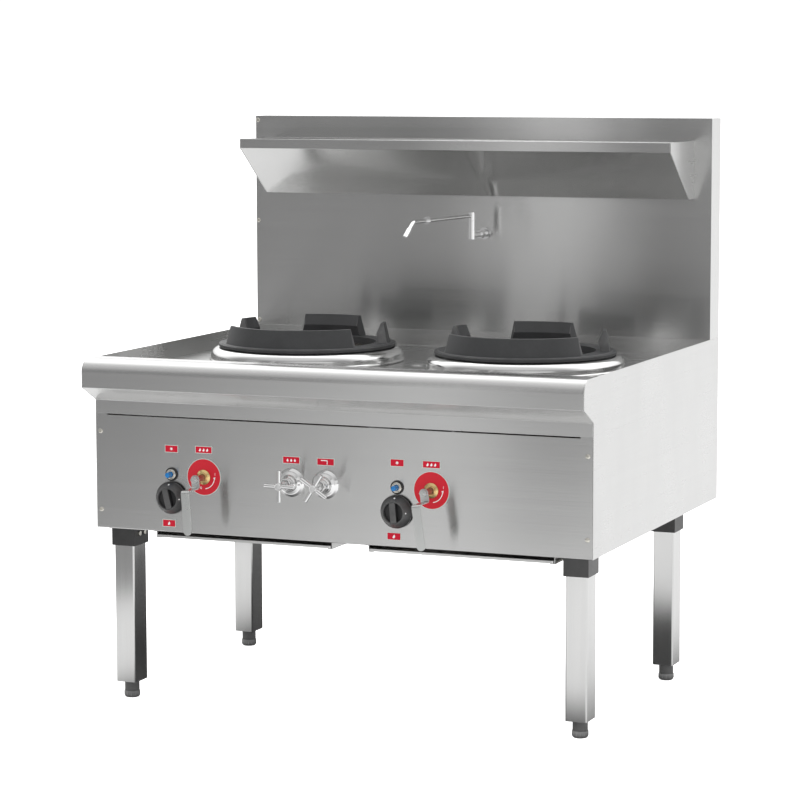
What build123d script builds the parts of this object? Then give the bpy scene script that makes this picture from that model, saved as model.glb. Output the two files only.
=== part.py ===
"""Two-burner gas wok range on four legs, with a splashback, an overshelf and a swivel faucet.

Millimetres. +Z is up, +X is to the cook's right and -Y faces the cook. The origin is on the
floor, under the middle of the overall box.
"""
import os
from math import cos, radians, sin, sqrt

from build123d import *

os.makedirs("parts", exist_ok=True)

# ---------------------------------------------------------------- driving dimensions
# Body
WIDTH = 1200.0  # over the side panels
BODY_DEPTH = 950.0  # face of the front panel to the back
HEIGHT = 1330.0  # floor to the top of the splashback
WORK_HEIGHT = 800.0  # floor to the top edge of the side panels
BODY_HEIGHT = 394.0  # top edge of the side panels down to the bottom edge of the body
WELL_DEPTH = 40.0  # side panel edge down to the deck
SHEET = 2.0
REAR_RECESS = 33.0  # back of the rear panel, in from the back edge of the side panels

# Front nose and front panel. The drops are measured down from the side panels' top edge
NOSE_REACH = 65.0
NOSE_RADIUS = 30.0
NOSE_FACE_DROP = 64.0
NOSE_RETURN_DROP = 98.0
NOSE_STRIP_DROP = 129.0
NOSE_LEDGE = 20.0  # top of the nose behind the panel face
PANEL_GAP = 3.0  # dark line between the nose and the front panel
PANEL_EAR = 28.0  # the panel's end pieces that reach up to the nose
PANEL_LIP = 18.0  # bottom edge folded inwards

# Burners
BURNER_SPREAD = 276.5  # burner centre from the middle of the range
BURNER_DEPTH = 465.0  # burner centre behind the panel face
COLLAR_RADIUS = 230.0
COLLAR_HEIGHT = 33.0
COLLAR_ROUND = 20.0
COLLAR_BEAD = 3.5
MOUTH_RADIUS = 168.0
COLLAR_LIP = 12.0
DECK_HOLE_RADIUS = 180.0
CHAMBER_RADIUS = 195.0  # over the flange under the deck
CHAMBER_FLANGE = 8.0
CHAMBER_TOP_BORE = 166.0
CHAMBER_FLOOR_BORE = 110.0
CHAMBER_WALL = 12.0
CHAMBER_HEIGHT = 268.0
CHAMBER_FLOOR = 20.0
HEAD_FLANGE_RADIUS = 80.0
HEAD_RADIUS = 70.0
HEAD_HEIGHT = 38.0
HEAD_FLANGE = 6.0
HEAD_NECK_RADIUS = 40.0
HEAD_NECK = 12.0  # neck below the chamber
HEAD_NECK_GAP = 2.0
HEAD_SHOULDER = (6.0, 8.0)  # in from the side, down from the top
HEAD_TOP_INSET = 18.0
PORT_RADIUS = 3.5
PORT_RINGS = ((0.6, 16), (0.32, 8))  # share of the head's radius, ports

# Wok ring: a flat flange with one long, one medium and two short raised segments
RING_RADIUS = 211.0
RING_BORE = 164.0
RING_FLANGE = 9.0
RING_RELIEF = (8.0, 2.5)  # under the flange's edge: in from the edge, up from the underside
RING_STEP = 2.0
RING_STEP_RADIUS = 203.0
RING_RIM = 6.0  # centring rim inside the collar
RING_TURNS = (0.0, 2.5)  # how far each loose ring stands turned, deg
SEGMENT_BASE = (176.0, 198.0)
SEGMENT_CREST = (181.0, 188.0)
SEGMENT_SEAT = (171.0, 25.0)  # lower edge of the sloping wok seat: radius, drop from the crest
SEGMENTS = (  # start and sweep in degrees, height over the flange's underside
    (-143.0, 112.0, 53.7),
    (68.0, 50.0, 59.7),
    (155.0, 19.0, 57.7),
    (6.0, 19.0, 57.7),
)

# Splashback and overshelf
SPLASH_DEPTH = 75.0
SPLASH_FOOT = 12.0
SHELF_INSET = 44.0  # shelf end in from the splashback end
SHELF_DROP = 53.0  # shelf top below the splashback's top
SHELF_REACH = 189.0
SHELF_LIP = 23.0
SHELF_HEIGHT = 139.0
SHELF_FOOT = 35.0
SEAM_X = 38.0
SEAM_WIDTH = 9.0
SEAM_THICK = 1.0

# Legs and frame
LEG = 50.0
LEG_DEPTH = 62.0
LEG_WALL = 2.0
LEG_ROUND = 4.0
LEG_INSET = 25.0
FRONT_LEG_SETBACK = 36.0
REAR_LEG_SETBACK = 216.0
LEG_BOTTOM = 40.0
SOCKET_WALL = 4.0
SOCKET_DROP = 45.0
SOCKET_PLATE = 4.0
SOCKET_MARGIN = 12.0  # socket plate beyond the sleeve, front and back
PLUG_RADIUS = 17.0
PLUG_SLEEVE = 24.0
PLUG_PLATE = 6.0
FOOT_RADIUS = 18.5
FOOT_TREAD = 4.0  # flat sole in from the side
FOOT_ROUND = 6.0  # height of the rounded edge
FOOT_ROD_RADIUS = 6.0
FOOT_ROD_LENGTH = 60.0
RAIL = 40.0
RAIL_WALL = 3.0
SIDE_RAIL_FLANGE = 70.0
REAR_RAIL_GAP = 5.0

# Drip trays and their runners
TRAY_MARGINS = (152.0, 92.0)  # left tray in from the left side, right tray from the right
TRAY_MIDDLE = 93.0  # between the two trays
TRAY_LENGTH = 640.0
TRAY_HEIGHT = 6.0
TRAY_SHEET = 1.2
TRAY_SETBACK = 3.0
RUNNER_LEDGE = 12.0
RUNNER_FLANGE = 8.0
RUNNER_WALL = 2.0
RUNNER_DROP = 16.0
RUNNER_SETBACK = 8.0

# Controls. Shifts are from the burner centre, rises from the body's bottom edge and reaches
# from the panel face
VALVE_SHIFT = -49.0
PILOT_SHIFT = -130.0
VALVE_RISE = 131.0
PILOT_RISE = 80.0
IGNITER_RISE = 133.5
TAP_XS = (-108.5, -25.0)
TAP_TURNS = (0.0, 33.0)  # how far each cross handle stands turned, deg
TAP_RISE = 130.5
DISC_RADIUS = 41.0
GLAND_RADIUS = 17.0
GLAND_LENGTH = 7.0
GLAND_NECK_RADIUS = 14.5
GLAND_TAPER = (5.0, 4.0)  # front edge: in from the side, back from the front
STEM_RADIUS = 7.0
STEM_BORE_RADIUS = 6.0
TIP_RADIUS = 4.0
TIP_NUT = 16.0  # across flats
TIP_NUT_LENGTH = 6.0
LEVER_TAB_REACH = 46.0  # front of the lever's tab from the panel face
LEVER_RUN = 55.0  # tab to the front of the handle
LEVER_WIDTH = 20.0
LEVER_THICK = 3.0
LEVER_HANG = 118.5  # valve axis to the handle's lower end
LEVER_DROP = 18.0  # valve axis to the top of the forward run
LEVER_HEAD = 10.0
LEVER_LEANS = (3.7, 8.0)  # how far each handle stands from straight down, deg
KNOB_RADIUS = 37.0
KNOB_BACK = 5.0
KNOB_BODY = 21.0  # back to face
KNOB_BAR_RISE = 3.0  # face to the front of the bar
KNOB_BAR = 17.0
KNOB_CAP = 4.0
KNOB_TRAVEL = 2.5
KNOB_SKIRT = 3.0
KNOB_FACE_RADIUS = 25.0
KNOB_RIM = 2.0
KNOB_DISH = 9.0
KNOB_BEVEL = 1.5
KNOB_TURNS = (14.0, 5.0)  # how far each bar stands from upright, deg
SPINDLE_RADIUS = 4.0
SPINDLE_DEPTH = 24.0
PILOT_NECK_RADIUS = 8.0
PILOT_VALVE_RADIUS = 14.0
BEZEL_RADIUS = 15.5
BEZEL_THICK = 3.0
IGNITER_NUT_RADIUS = 12.0
IGNITER_NUT_REACH = 9.0
IGNITER_NECK_RADIUS = 9.0
IGNITER_LENGTH = 45.0
BUTTON_RADIUS = 6.0
BUTTON_TRAVEL = 5.0
BUTTON_BEVEL = 1.5
BUTTON_REACH = 24.0
BUTTON_DEPTH = 12.0
ESCUTCHEON_RADIUS = 32.5
ESCUTCHEON_STEPS = ((0.0, 3.0), (6.0, 8.0), (13.5, 12.0), (15.5, 18.0))  # in, out
BONNET_RADIUS = 14.0
BONNET_FOOT = 22.0
TAP_NECK_RADIUS = 10.0
TAP_NECK_REACH = 38.0
TAP_VALVE_RADIUS = 14.0
TAP_BOSS_RADIUS = 9.0
TAP_SPINDLE_DEPTH = 25.0
TAP_CAP_BEVEL = 1.5
TAP_SPINDLE_RADIUS = 5.0
TAP_HUB_RADIUS = 8.5
TAP_REACH = 76.0
TAP_ARM = 36.0
TAP_ARM_RADIUS = 5.0
TAP_ARM_INSET = 9.0  # arms' axis behind the hub's front
LABEL_THICK = 0.8
SMALL_LABEL = (31.0, 15.0)
WIDE_LABEL = (40.0, 14.5)
TOP_LABEL_RISES = (191.5, 188.0)
WIDE_LABEL_RISES = (193.0, 188.0)
LOW_LABEL_RISES = (20.5, 24.0)
TAP_LABEL_RISE = 181.0
PILOT_LABEL_SHIFT = -8.0

# Pipework
MANIFOLD_RADIUS = 17.0
MANIFOLD_WALL = 3.0
MANIFOLD_DEPTH = 70.0
MANIFOLD_INSET = 140.0  # closed end in from the left side
MANIFOLD_BEND = 60.0
GAS_INLET_INSET = 70.0  # inlet in from the right side
FEED_RADIUS = 10.0
FEED_DEPTH = 150.0
FEED_RISE = 49.0
PILOT_TUBE_RADIUS = 4.0
PILOT_OUTLET_DEPTH = 30.0
MAIN_VALVE_DEPTH = 84.0
STEM_DEPTH = 30.0
PILOT_PORT_SHIFT = -73.5
PILOT_PORT_RISE = 139.0
WATER_RADIUS = 9.0
WATER_DEPTH = 75.0
WATER_INLET_X = 60.0
RISER_RADIUS = 7.0
RISER_RISE = 194.0
RISER_INSET = 50.0  # upright run in from the back
TANK_PIPE_X = -50.0
RISER_X = 70.0  # the faucet's riser runs back to the right of the drain
RISER_RETURN = 60.0  # its slanted run to the faucet's place, along Y
STUB = 28.0  # pipe stubs behind the rear panel
UNION_LENGTH = 22.0  # turned end of a stub, where a union fits over it
UNION_STEP = 0.5  # depth of the turned end, on the radius

# Faucet
FAUCET_X = 21.0
FAUCET_DROP = 94.0  # foot of the overshelf down to the feed pipe's axis
FAUCET_FLANGE = (15.0, 4.0)  # radius, thickness
FAUCET_NUT = (11.0, 16.0)  # radius, length
FAUCET_NUT_OUT = 22.0
SWIVEL_PIN_RADIUS = 4.0
SWIVEL_PIN = 12.0
FAUCET_STAND = 90.0  # swivel axis in front of the splashback
FAUCET_RADIUS = 8.75
FAUCET_BELOW = 9.0  # feed pipe's axis to the foot of the upright body
FAUCET_ABOVE = 36.0  # feed pipe's axis to the swivel joint
SPOUT_HUB = 21.0  # height of the spout's hub
SPOUT_UP = 12.0  # swivel joint to the arm's axis
SPOUT_LENGTH = 304.0
SPOUT_RADIUS = 4.5
SPOUT_TURN = 5.9  # arm's rest position, to the left of straight ahead, deg
SPOUT_HOOK = 232.0  # swivel axis to the hook collar
OUTLET_RUN = 42.0
OUTLET_DROP = 34.0
OUTLET_RADIUS = 6.0
OUTLET_LENGTH = 28.0
OUTLET_BORE = 6.0
SPOUT_BEND = 30.0
HOOK_RADIUS = 10.0
HOOK_THICK = 3.0

# Deck drain
DRAIN_X = 20.0
DRAIN_DEPTH = 440.0
DRAIN_RADIUS = 19.0
DRAIN_FLANGE_RADIUS = 21.0
DRAIN_LENGTH = 60.0
DRAIN_WALL = 3.0
DRAIN_SHOULDER = 8.0  # underside of the flange down to the turned end for a hose
DRAIN_DOME = 5.0
DRAIN_DOME_EDGE = 3.0
DRAIN_SLOT = (9.0, 3.0)
DRAIN_SLOTS = 6

# Fasteners
SCREW_HEAD_RADIUS = 5.5
SCREW_HEAD = 2.5
SCREW_RADIUS = 2.0
SCREW_LENGTH = 6.0
PANEL_SCREW_INSET = 13.0
PANEL_SCREW_RISES = (43.0, 224.0)
SPLASH_SCREW_INSET = 6.5
SPLASH_SCREW_END = 11.0  # end screws in from the splashback's foot and top
BOLT_HEAD_RADIUS = 6.0
BOLT_HEAD = 4.0
BOLT_RADIUS = 3.0
BOLT_SPREAD = 24.0
BOLT_DROP = 18.0

# Clearances
SEAT_GAP = 0.3  # a loose or sliding piece above its seat
RUNNING_GAP = 0.05  # a shaft in its bore, on the radius
HOLE_GAP = 0.5  # a fixed neck in its panel hole, on the radius
TRAY_GAP = 1.0  # a tray between its runners, each side

# ---------------------------------------------------------------- places
LEVER_REACH = LEVER_TAB_REACH + LEVER_RUN
PANEL_Y = LEVER_REACH - (BODY_DEPTH + LEVER_REACH) / 2
BACK_Y = PANEL_Y + BODY_DEPTH
SPLASH_Y = BACK_Y - SPLASH_DEPTH
REAR_PANEL_Y = BACK_Y - REAR_RECESS - SHEET
INNER_WIDTH = WIDTH - 2 * SHEET
DECK_Z = WORK_HEIGHT - WELL_DEPTH
COLLAR_TOP = DECK_Z + COLLAR_HEIGHT
BURNER_Y = PANEL_Y + BURNER_DEPTH
BURNER_XS = (-BURNER_SPREAD, BURNER_SPREAD)
SIDES = ("left", "right")
NOSE_FACE_BOTTOM = WORK_HEIGHT - NOSE_FACE_DROP
NOSE_RETURN_BOTTOM = WORK_HEIGHT - NOSE_RETURN_DROP
NOSE_STRIP_BOTTOM = WORK_HEIGHT - NOSE_STRIP_DROP
BODY_BOTTOM = WORK_HEIGHT - BODY_HEIGHT
VALVE_Z = BODY_BOTTOM + VALVE_RISE
PILOT_Z = BODY_BOTTOM + PILOT_RISE
IGNITER_Z = BODY_BOTTOM + IGNITER_RISE
TAP_Z = BODY_BOTTOM + TAP_RISE
RISER_Z = BODY_BOTTOM + RISER_RISE
FEED_Z = BODY_BOTTOM + FEED_RISE
PILOT_PORT_Z = BODY_BOTTOM + PILOT_PORT_RISE
SHELF_TOP = HEIGHT - SHELF_DROP
SHELF_FOOT_Z = SHELF_TOP - SHELF_HEIGHT
FAUCET_Z = SHELF_FOOT_Z - FAUCET_DROP
VALVE_XS = tuple(x + VALVE_SHIFT for x in BURNER_XS)
PILOT_XS = tuple(x + PILOT_SHIFT for x in BURNER_XS)
MANIFOLD_Y = PANEL_Y + MANIFOLD_DEPTH
MANIFOLD_END = -WIDTH / 2 + MANIFOLD_INSET
GAS_INLET_X = WIDTH / 2 - GAS_INLET_INSET
STUB_Y = REAR_PANEL_Y + SHEET + STUB
WATER_Y = PANEL_Y + WATER_DEPTH
TRAY_WIDTH = (WIDTH - sum(TRAY_MARGINS) - TRAY_MIDDLE) / 2
TRAY_CENTRES = (
    -WIDTH / 2 + TRAY_MARGINS[0] + TRAY_WIDTH / 2,
    WIDTH / 2 - TRAY_MARGINS[1] - TRAY_WIDTH / 2,
)
CHAMBER_TOP = DECK_Z - SHEET
CHAMBER_BOTTOM = CHAMBER_TOP - CHAMBER_HEIGHT
CHAMBER_FLOOR_Z = CHAMBER_BOTTOM + CHAMBER_FLOOR
SOCKET = LEG + 2 * SOCKET_WALL
SOCKET_DEPTH = LEG_DEPTH + 2 * SOCKET_WALL
LEG_X = WIDTH / 2 - LEG_INSET - LEG / 2
FRONT_LEG_Y = PANEL_Y + FRONT_LEG_SETBACK + LEG_DEPTH / 2
REAR_LEG_Y = BACK_Y - REAR_LEG_SETBACK - LEG_DEPTH / 2
LEG_PLACES = {
    "front_left": (-LEG_X, FRONT_LEG_Y),
    "front_right": (LEG_X, FRONT_LEG_Y),
    "rear_left": (-LEG_X, REAR_LEG_Y),
    "rear_right": (LEG_X, REAR_LEG_Y),
}
BOLT_Z = BODY_BOTTOM - BOLT_DROP
FAUCET_Y = SPLASH_Y - FAUCET_STAND


def facing_front(y):
    """Plane at y whose extrusions grow towards the cook."""
    return Plane.XZ.offset(-y)


def facing_right(x):
    """Plane at x whose extrusions grow to the right, with Y and Z as its own axes."""
    return Plane.YZ.offset(x)


def turned_about_y(x, z):
    """Plane for a piece turned about a line square to the panel: radius, reach from the panel."""
    return Plane(origin=(x, PANEL_Y, z), x_dir=(1, 0, 0), z_dir=(0, 0, -1))


def turned_about_z(x, y, degrees=0.0):
    """Plane for a piece turned about an upright line: radius, height above the floor."""
    along = (cos(radians(degrees)), sin(radians(degrees)), 0)
    across = (along[1], -along[0], 0)
    return Plane(origin=(x, y, 0), x_dir=along, z_dir=across)


def own_axis(plane):
    """The line that a plane's turned piece spins about."""
    return Axis(plane.origin, plane.y_dir)


def save(builder, label):
    """Label a finished piece and write its STEP file."""
    builder.part.label = label
    export_step(builder.part, f"parts/{label}.step")


# ---------------------------------------------------------------- body shell
def nose_front_line():
    """The front outline of the nose, from its top edge round to the panel face."""
    top_y = PANEL_Y - NOSE_REACH + NOSE_RADIUS
    round_z = WORK_HEIGHT - NOSE_RADIUS
    RadiusArc((top_y, WORK_HEIGHT), (PANEL_Y - NOSE_REACH, round_z), -NOSE_RADIUS)
    Polyline(
        (PANEL_Y - NOSE_REACH, round_z),
        (PANEL_Y - NOSE_REACH, NOSE_FACE_BOTTOM),
        (PANEL_Y, NOSE_RETURN_BOTTOM),
    )
    return top_y


for side, inner_x in zip(SIDES, (-WIDTH / 2, WIDTH / 2 - SHEET)):
    with BuildPart() as side_panel:
        with BuildSketch(facing_right(inner_x)):
            with BuildLine():
                nose_top_y = nose_front_line()
                Polyline(
                    (PANEL_Y, NOSE_RETURN_BOTTOM),
                    (PANEL_Y, BODY_BOTTOM),
                    (BACK_Y, BODY_BOTTOM),
                    (BACK_Y, WORK_HEIGHT),
                    (nose_top_y, WORK_HEIGHT),
                )
            make_face()
        extrude(amount=SHEET)
    save(side_panel, f"side_panel_{side}")

with BuildPart() as front_nose:
    with BuildSketch(facing_right(-INNER_WIDTH / 2)):
        with BuildLine():
            nose_top_y = nose_front_line()
            Polyline(
                (PANEL_Y, NOSE_RETURN_BOTTOM),
                (PANEL_Y, NOSE_STRIP_BOTTOM),
                (PANEL_Y + NOSE_LEDGE, NOSE_STRIP_BOTTOM),
                (PANEL_Y + NOSE_LEDGE, WORK_HEIGHT),
                (nose_top_y, WORK_HEIGHT),
            )
        make_face()
        offset(amount=-SHEET, mode=Mode.SUBTRACT)
    extrude(amount=INNER_WIDTH)
save(front_nose, "front_nose")

SCREW_X = WIDTH / 2 - PANEL_SCREW_INSET
SCREW_HOLE = SCREW_RADIUS + RUNNING_GAP
PANEL_HOLES = [(x, VALVE_Z, GLAND_NECK_RADIUS + HOLE_GAP) for x in VALVE_XS]
PANEL_HOLES += [(x, PILOT_Z, PILOT_NECK_RADIUS + HOLE_GAP) for x in PILOT_XS]
PANEL_HOLES += [(x, IGNITER_Z, IGNITER_NECK_RADIUS + HOLE_GAP) for x in PILOT_XS]
PANEL_HOLES += [(x, TAP_Z, TAP_NECK_RADIUS + HOLE_GAP) for x in TAP_XS]
PANEL_SCREWS = [(x, BODY_BOTTOM + rise) for x in (-SCREW_X, SCREW_X) for rise in PANEL_SCREW_RISES]
PANEL_HOLES += [(x, z, SCREW_HOLE) for x, z in PANEL_SCREWS]

with BuildPart() as front_panel:
    panel_top = NOSE_STRIP_BOTTOM - PANEL_GAP
    ear_x = INNER_WIDTH / 2 - PANEL_EAR
    with BuildSketch(facing_front(PANEL_Y + SHEET)):
        with BuildLine():
            Polyline(
                (-INNER_WIDTH / 2, BODY_BOTTOM),
                (INNER_WIDTH / 2, BODY_BOTTOM),
                (INNER_WIDTH / 2, NOSE_STRIP_BOTTOM),
                (ear_x, NOSE_STRIP_BOTTOM),
                (ear_x, panel_top),
                (-ear_x, panel_top),
                (-ear_x, NOSE_STRIP_BOTTOM),
                (-INNER_WIDTH / 2, NOSE_STRIP_BOTTOM),
                close=True,
            )
        make_face()
        for hole_x, hole_z, hole_radius in PANEL_HOLES:
            with Locations((hole_x, hole_z)):
                Circle(hole_radius, mode=Mode.SUBTRACT)
    extrude(amount=SHEET)
    with BuildSketch(Plane.XY.offset(BODY_BOTTOM)):
        with Locations((0, PANEL_Y + SHEET + PANEL_LIP / 2)):
            Rectangle(INNER_WIDTH, PANEL_LIP)
    extrude(amount=SHEET)
save(front_panel, "front_panel")

with BuildPart() as rear_panel:
    with BuildSketch(facing_front(REAR_PANEL_Y + SHEET)):
        with Locations((0, (BODY_BOTTOM + WORK_HEIGHT) / 2)):
            Rectangle(INNER_WIDTH, WORK_HEIGHT - BODY_BOTTOM)
        with Locations((GAS_INLET_X, PILOT_Z)):
            Circle(MANIFOLD_RADIUS + HOLE_GAP, mode=Mode.SUBTRACT)
        with Locations((WATER_INLET_X, TAP_Z)):
            Circle(WATER_RADIUS + HOLE_GAP, mode=Mode.SUBTRACT)
        with Locations((TANK_PIPE_X, RISER_Z)):
            Circle(RISER_RADIUS + HOLE_GAP, mode=Mode.SUBTRACT)
    extrude(amount=SHEET)
save(rear_panel, "rear_panel")

with BuildPart() as deck_pan:
    deck_front = PANEL_Y + NOSE_LEDGE
    with BuildSketch(Plane.XY.offset(DECK_Z - SHEET)):
        with Locations((0, (deck_front + SPLASH_Y) / 2)):
            Rectangle(INNER_WIDTH, SPLASH_Y - deck_front)
        with Locations(*[(x, BURNER_Y) for x in BURNER_XS]):
            Circle(DECK_HOLE_RADIUS, mode=Mode.SUBTRACT)
        with Locations((DRAIN_X, PANEL_Y + DRAIN_DEPTH)):
            Circle(DRAIN_RADIUS + HOLE_GAP, mode=Mode.SUBTRACT)
    extrude(amount=SHEET)
    with BuildSketch(Plane.XY.offset(DECK_Z)):
        with Locations((0, SPLASH_Y - SHEET / 2)):
            Rectangle(INNER_WIDTH, SHEET)
    extrude(amount=WELL_DEPTH)
save(deck_pan, "deck_pan")

with BuildPart() as deck_drain:
    drain_plane = turned_about_z(DRAIN_X, PANEL_Y + DRAIN_DEPTH)
    drain_bore = DRAIN_RADIUS - DRAIN_WALL
    with BuildSketch(drain_plane):
        with BuildLine():
            Polyline(
                (0, DECK_Z + DRAIN_DOME),
                (drain_bore - SHEET, DECK_Z + DRAIN_DOME_EDGE),
                (DRAIN_FLANGE_RADIUS, DECK_Z),
                (DRAIN_RADIUS, DECK_Z),
                (DRAIN_RADIUS, DECK_Z - DRAIN_SHOULDER),
                (DRAIN_RADIUS - UNION_STEP, DECK_Z - DRAIN_SHOULDER),
                (DRAIN_RADIUS - UNION_STEP, DECK_Z - DRAIN_LENGTH),
                (drain_bore, DECK_Z - DRAIN_LENGTH),
                (drain_bore, DECK_Z),
                (0, DECK_Z),
                close=True,
            )
        make_face()
    revolve(axis=own_axis(drain_plane))
    with BuildSketch(Plane.XY.offset(DECK_Z - SHEET / 2)):
        with Locations((DRAIN_X, PANEL_Y + DRAIN_DEPTH)):
            with PolarLocations(drain_bore / 2, DRAIN_SLOTS):
                SlotOverall(*DRAIN_SLOT)
    extrude(amount=DRAIN_DOME + SHEET, mode=Mode.SUBTRACT)
save(deck_drain, "deck_drain")

# ---------------------------------------------------------------- burners
for side, burner_x, ring_turn in zip(SIDES, BURNER_XS, RING_TURNS):
    burner_plane = turned_about_z(burner_x, BURNER_Y)

    with BuildPart() as burner_collar:
        round_radius = COLLAR_RADIUS - COLLAR_ROUND
        round_z = COLLAR_TOP - COLLAR_ROUND
        with BuildSketch(burner_plane):
            with BuildLine():
                Line((COLLAR_RADIUS, DECK_Z), (COLLAR_RADIUS, round_z))
                RadiusArc((COLLAR_RADIUS, round_z), (round_radius, COLLAR_TOP), -COLLAR_ROUND)
                Polyline(
                    (round_radius, COLLAR_TOP),
                    (MOUTH_RADIUS, COLLAR_TOP),
                    (MOUTH_RADIUS, COLLAR_TOP - COLLAR_LIP),
                    (MOUTH_RADIUS + SHEET, COLLAR_TOP - COLLAR_LIP),
                    (MOUTH_RADIUS + SHEET, COLLAR_TOP - SHEET),
                    (round_radius, COLLAR_TOP - SHEET),
                )
                RadiusArc(
                    (round_radius, COLLAR_TOP - SHEET),
                    (COLLAR_RADIUS - SHEET, round_z),
                    COLLAR_ROUND - SHEET,
                )
                Polyline(
                    (COLLAR_RADIUS - SHEET, round_z),
                    (COLLAR_RADIUS - SHEET, DECK_Z),
                    (COLLAR_RADIUS, DECK_Z),
                )
            make_face()
            with Locations((COLLAR_RADIUS, DECK_Z + COLLAR_BEAD)):
                Circle(COLLAR_BEAD)
        revolve(axis=own_axis(burner_plane))
    save(burner_collar, f"burner_collar_{side}")

    with BuildPart() as combustion_chamber:
        with BuildSketch(burner_plane):
            with BuildLine():
                Polyline(
                    (HEAD_NECK_RADIUS + HEAD_NECK_GAP, CHAMBER_BOTTOM),
                    (CHAMBER_FLOOR_BORE + CHAMBER_WALL, CHAMBER_BOTTOM),
                    (CHAMBER_TOP_BORE + CHAMBER_WALL, CHAMBER_TOP - CHAMBER_FLANGE),
                    (CHAMBER_RADIUS, CHAMBER_TOP - CHAMBER_FLANGE),
                    (CHAMBER_RADIUS, CHAMBER_TOP),
                    (CHAMBER_TOP_BORE, CHAMBER_TOP),
                    (CHAMBER_FLOOR_BORE, CHAMBER_FLOOR_Z),
                    (HEAD_NECK_RADIUS + HEAD_NECK_GAP, CHAMBER_FLOOR_Z),
                    close=True,
                )
            make_face()
        revolve(axis=own_axis(burner_plane))
        with BuildSketch(facing_front(BURNER_Y)):
            with Locations((burner_x + PILOT_PORT_SHIFT, PILOT_PORT_Z)):
                Circle(PILOT_TUBE_RADIUS * 2)
        extrude(amount=CHAMBER_RADIUS, mode=Mode.SUBTRACT)
    save(combustion_chamber, f"combustion_chamber_{side}")

    with BuildPart() as burner_head:
        head_z = CHAMBER_FLOOR_Z
        with BuildSketch(burner_plane):
            with BuildLine():
                Polyline(
                    (0, CHAMBER_BOTTOM - HEAD_NECK),
                    (HEAD_NECK_RADIUS, CHAMBER_BOTTOM - HEAD_NECK),
                    (HEAD_NECK_RADIUS, head_z),
                    (HEAD_FLANGE_RADIUS, head_z),
                    (HEAD_FLANGE_RADIUS, head_z + HEAD_FLANGE),
                    (HEAD_RADIUS, head_z + HEAD_FLANGE),
                    (HEAD_RADIUS - HEAD_SHOULDER[0], head_z + HEAD_HEIGHT - HEAD_SHOULDER[1]),
                    (HEAD_RADIUS - HEAD_TOP_INSET, head_z + HEAD_HEIGHT),
                    (0, head_z + HEAD_HEIGHT),
                    close=True,
                )
            make_face()
        revolve(axis=own_axis(burner_plane))
        with BuildSketch(Plane.XY.offset(head_z + HEAD_FLANGE)):
            with Locations((burner_x, BURNER_Y)):
                for share, ports in PORT_RINGS:
                    with PolarLocations(HEAD_RADIUS * share, ports):
                        Circle(PORT_RADIUS)
        extrude(amount=HEAD_HEIGHT, mode=Mode.SUBTRACT)
    save(burner_head, f"burner_head_{side}")

    with BuildPart() as wok_ring:
        ring_z = COLLAR_TOP + SEAT_GAP
        flange_z = ring_z + RING_FLANGE
        relief_radius = RING_RADIUS - RING_RELIEF[0]
        relief_z = ring_z + RING_RELIEF[1]
        with BuildSketch(burner_plane):
            with BuildLine():
                Polyline(
                    (RING_BORE, ring_z - RING_RIM),
                    (MOUTH_RADIUS - SEAT_GAP, ring_z - RING_RIM),
                    (MOUTH_RADIUS - SEAT_GAP, ring_z),
                    (relief_radius, ring_z),
                    (relief_radius, relief_z),
                    (RING_RADIUS, relief_z),
                    (RING_RADIUS, flange_z),
                    (RING_STEP_RADIUS, flange_z),
                    (RING_STEP_RADIUS, flange_z + RING_STEP),
                    (RING_BORE, flange_z + RING_STEP),
                    close=True,
                )
            make_face()
        revolve(axis=own_axis(burner_plane))
        for start, sweep_angle, height in SEGMENTS:
            crest_z = ring_z + height
            segment_plane = turned_about_z(burner_x, BURNER_Y, start + ring_turn)
            with BuildSketch(segment_plane):
                with BuildLine():
                    Polyline(
                        (SEGMENT_BASE[0], flange_z),
                        (SEGMENT_BASE[1], flange_z),
                        (SEGMENT_CREST[1], crest_z),
                        (SEGMENT_CREST[0], crest_z),
                        (SEGMENT_SEAT[0], crest_z - SEGMENT_SEAT[1]),
                        close=True,
                    )
                make_face()
            revolve(axis=Axis(segment_plane.origin, (0, 0, 1)), revolution_arc=sweep_angle)
    save(wok_ring, f"wok_ring_{side}")

# ---------------------------------------------------------------- splashback and overshelf
SPLASH_HEIGHT = HEIGHT - WORK_HEIGHT
SPLASH_SCREW_X = -WIDTH / 2 + SPLASH_SCREW_INSET
SPLASH_SCREW_ENDS = (WORK_HEIGHT + SPLASH_SCREW_END, HEIGHT - SPLASH_SCREW_END)
SPLASH_SCREWS = [
    (SPLASH_SCREW_X, z) for z in (*SPLASH_SCREW_ENDS, sum(SPLASH_SCREW_ENDS) / 2)
]

with BuildPart() as splashback:
    with BuildSketch(Plane.XY.offset(WORK_HEIGHT)):
        with Locations((0, (SPLASH_Y + BACK_Y - SHEET) / 2)):
            Rectangle(WIDTH, SPLASH_DEPTH - SHEET)
    extrude(amount=SPLASH_HEIGHT)
    with BuildSketch(Plane.XY.offset(WORK_HEIGHT)):
        with Locations((0, (SPLASH_Y + BACK_Y) / 2)):
            Rectangle(INNER_WIDTH, SPLASH_DEPTH - 2 * SHEET)
        with Locations((0, BACK_Y)):
            Rectangle(INNER_WIDTH, SHEET * 4)
    extrude(amount=SPLASH_HEIGHT - SHEET, mode=Mode.SUBTRACT)
    with BuildSketch(Plane.XY.offset(WORK_HEIGHT)):
        with Locations((0, SPLASH_Y + SHEET + SPLASH_FOOT / 2)):
            Rectangle(INNER_WIDTH, SPLASH_FOOT)
    extrude(amount=SHEET)
    with BuildSketch(facing_front(SPLASH_Y + SHEET * 2)):
        with Locations(*SPLASH_SCREWS):
            Circle(SCREW_HOLE)
        with Locations((FAUCET_X, FAUCET_Z)):
            Circle(RISER_RADIUS + HOLE_GAP)
    extrude(amount=SHEET * 3, mode=Mode.SUBTRACT)
save(splashback, "splashback")

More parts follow.
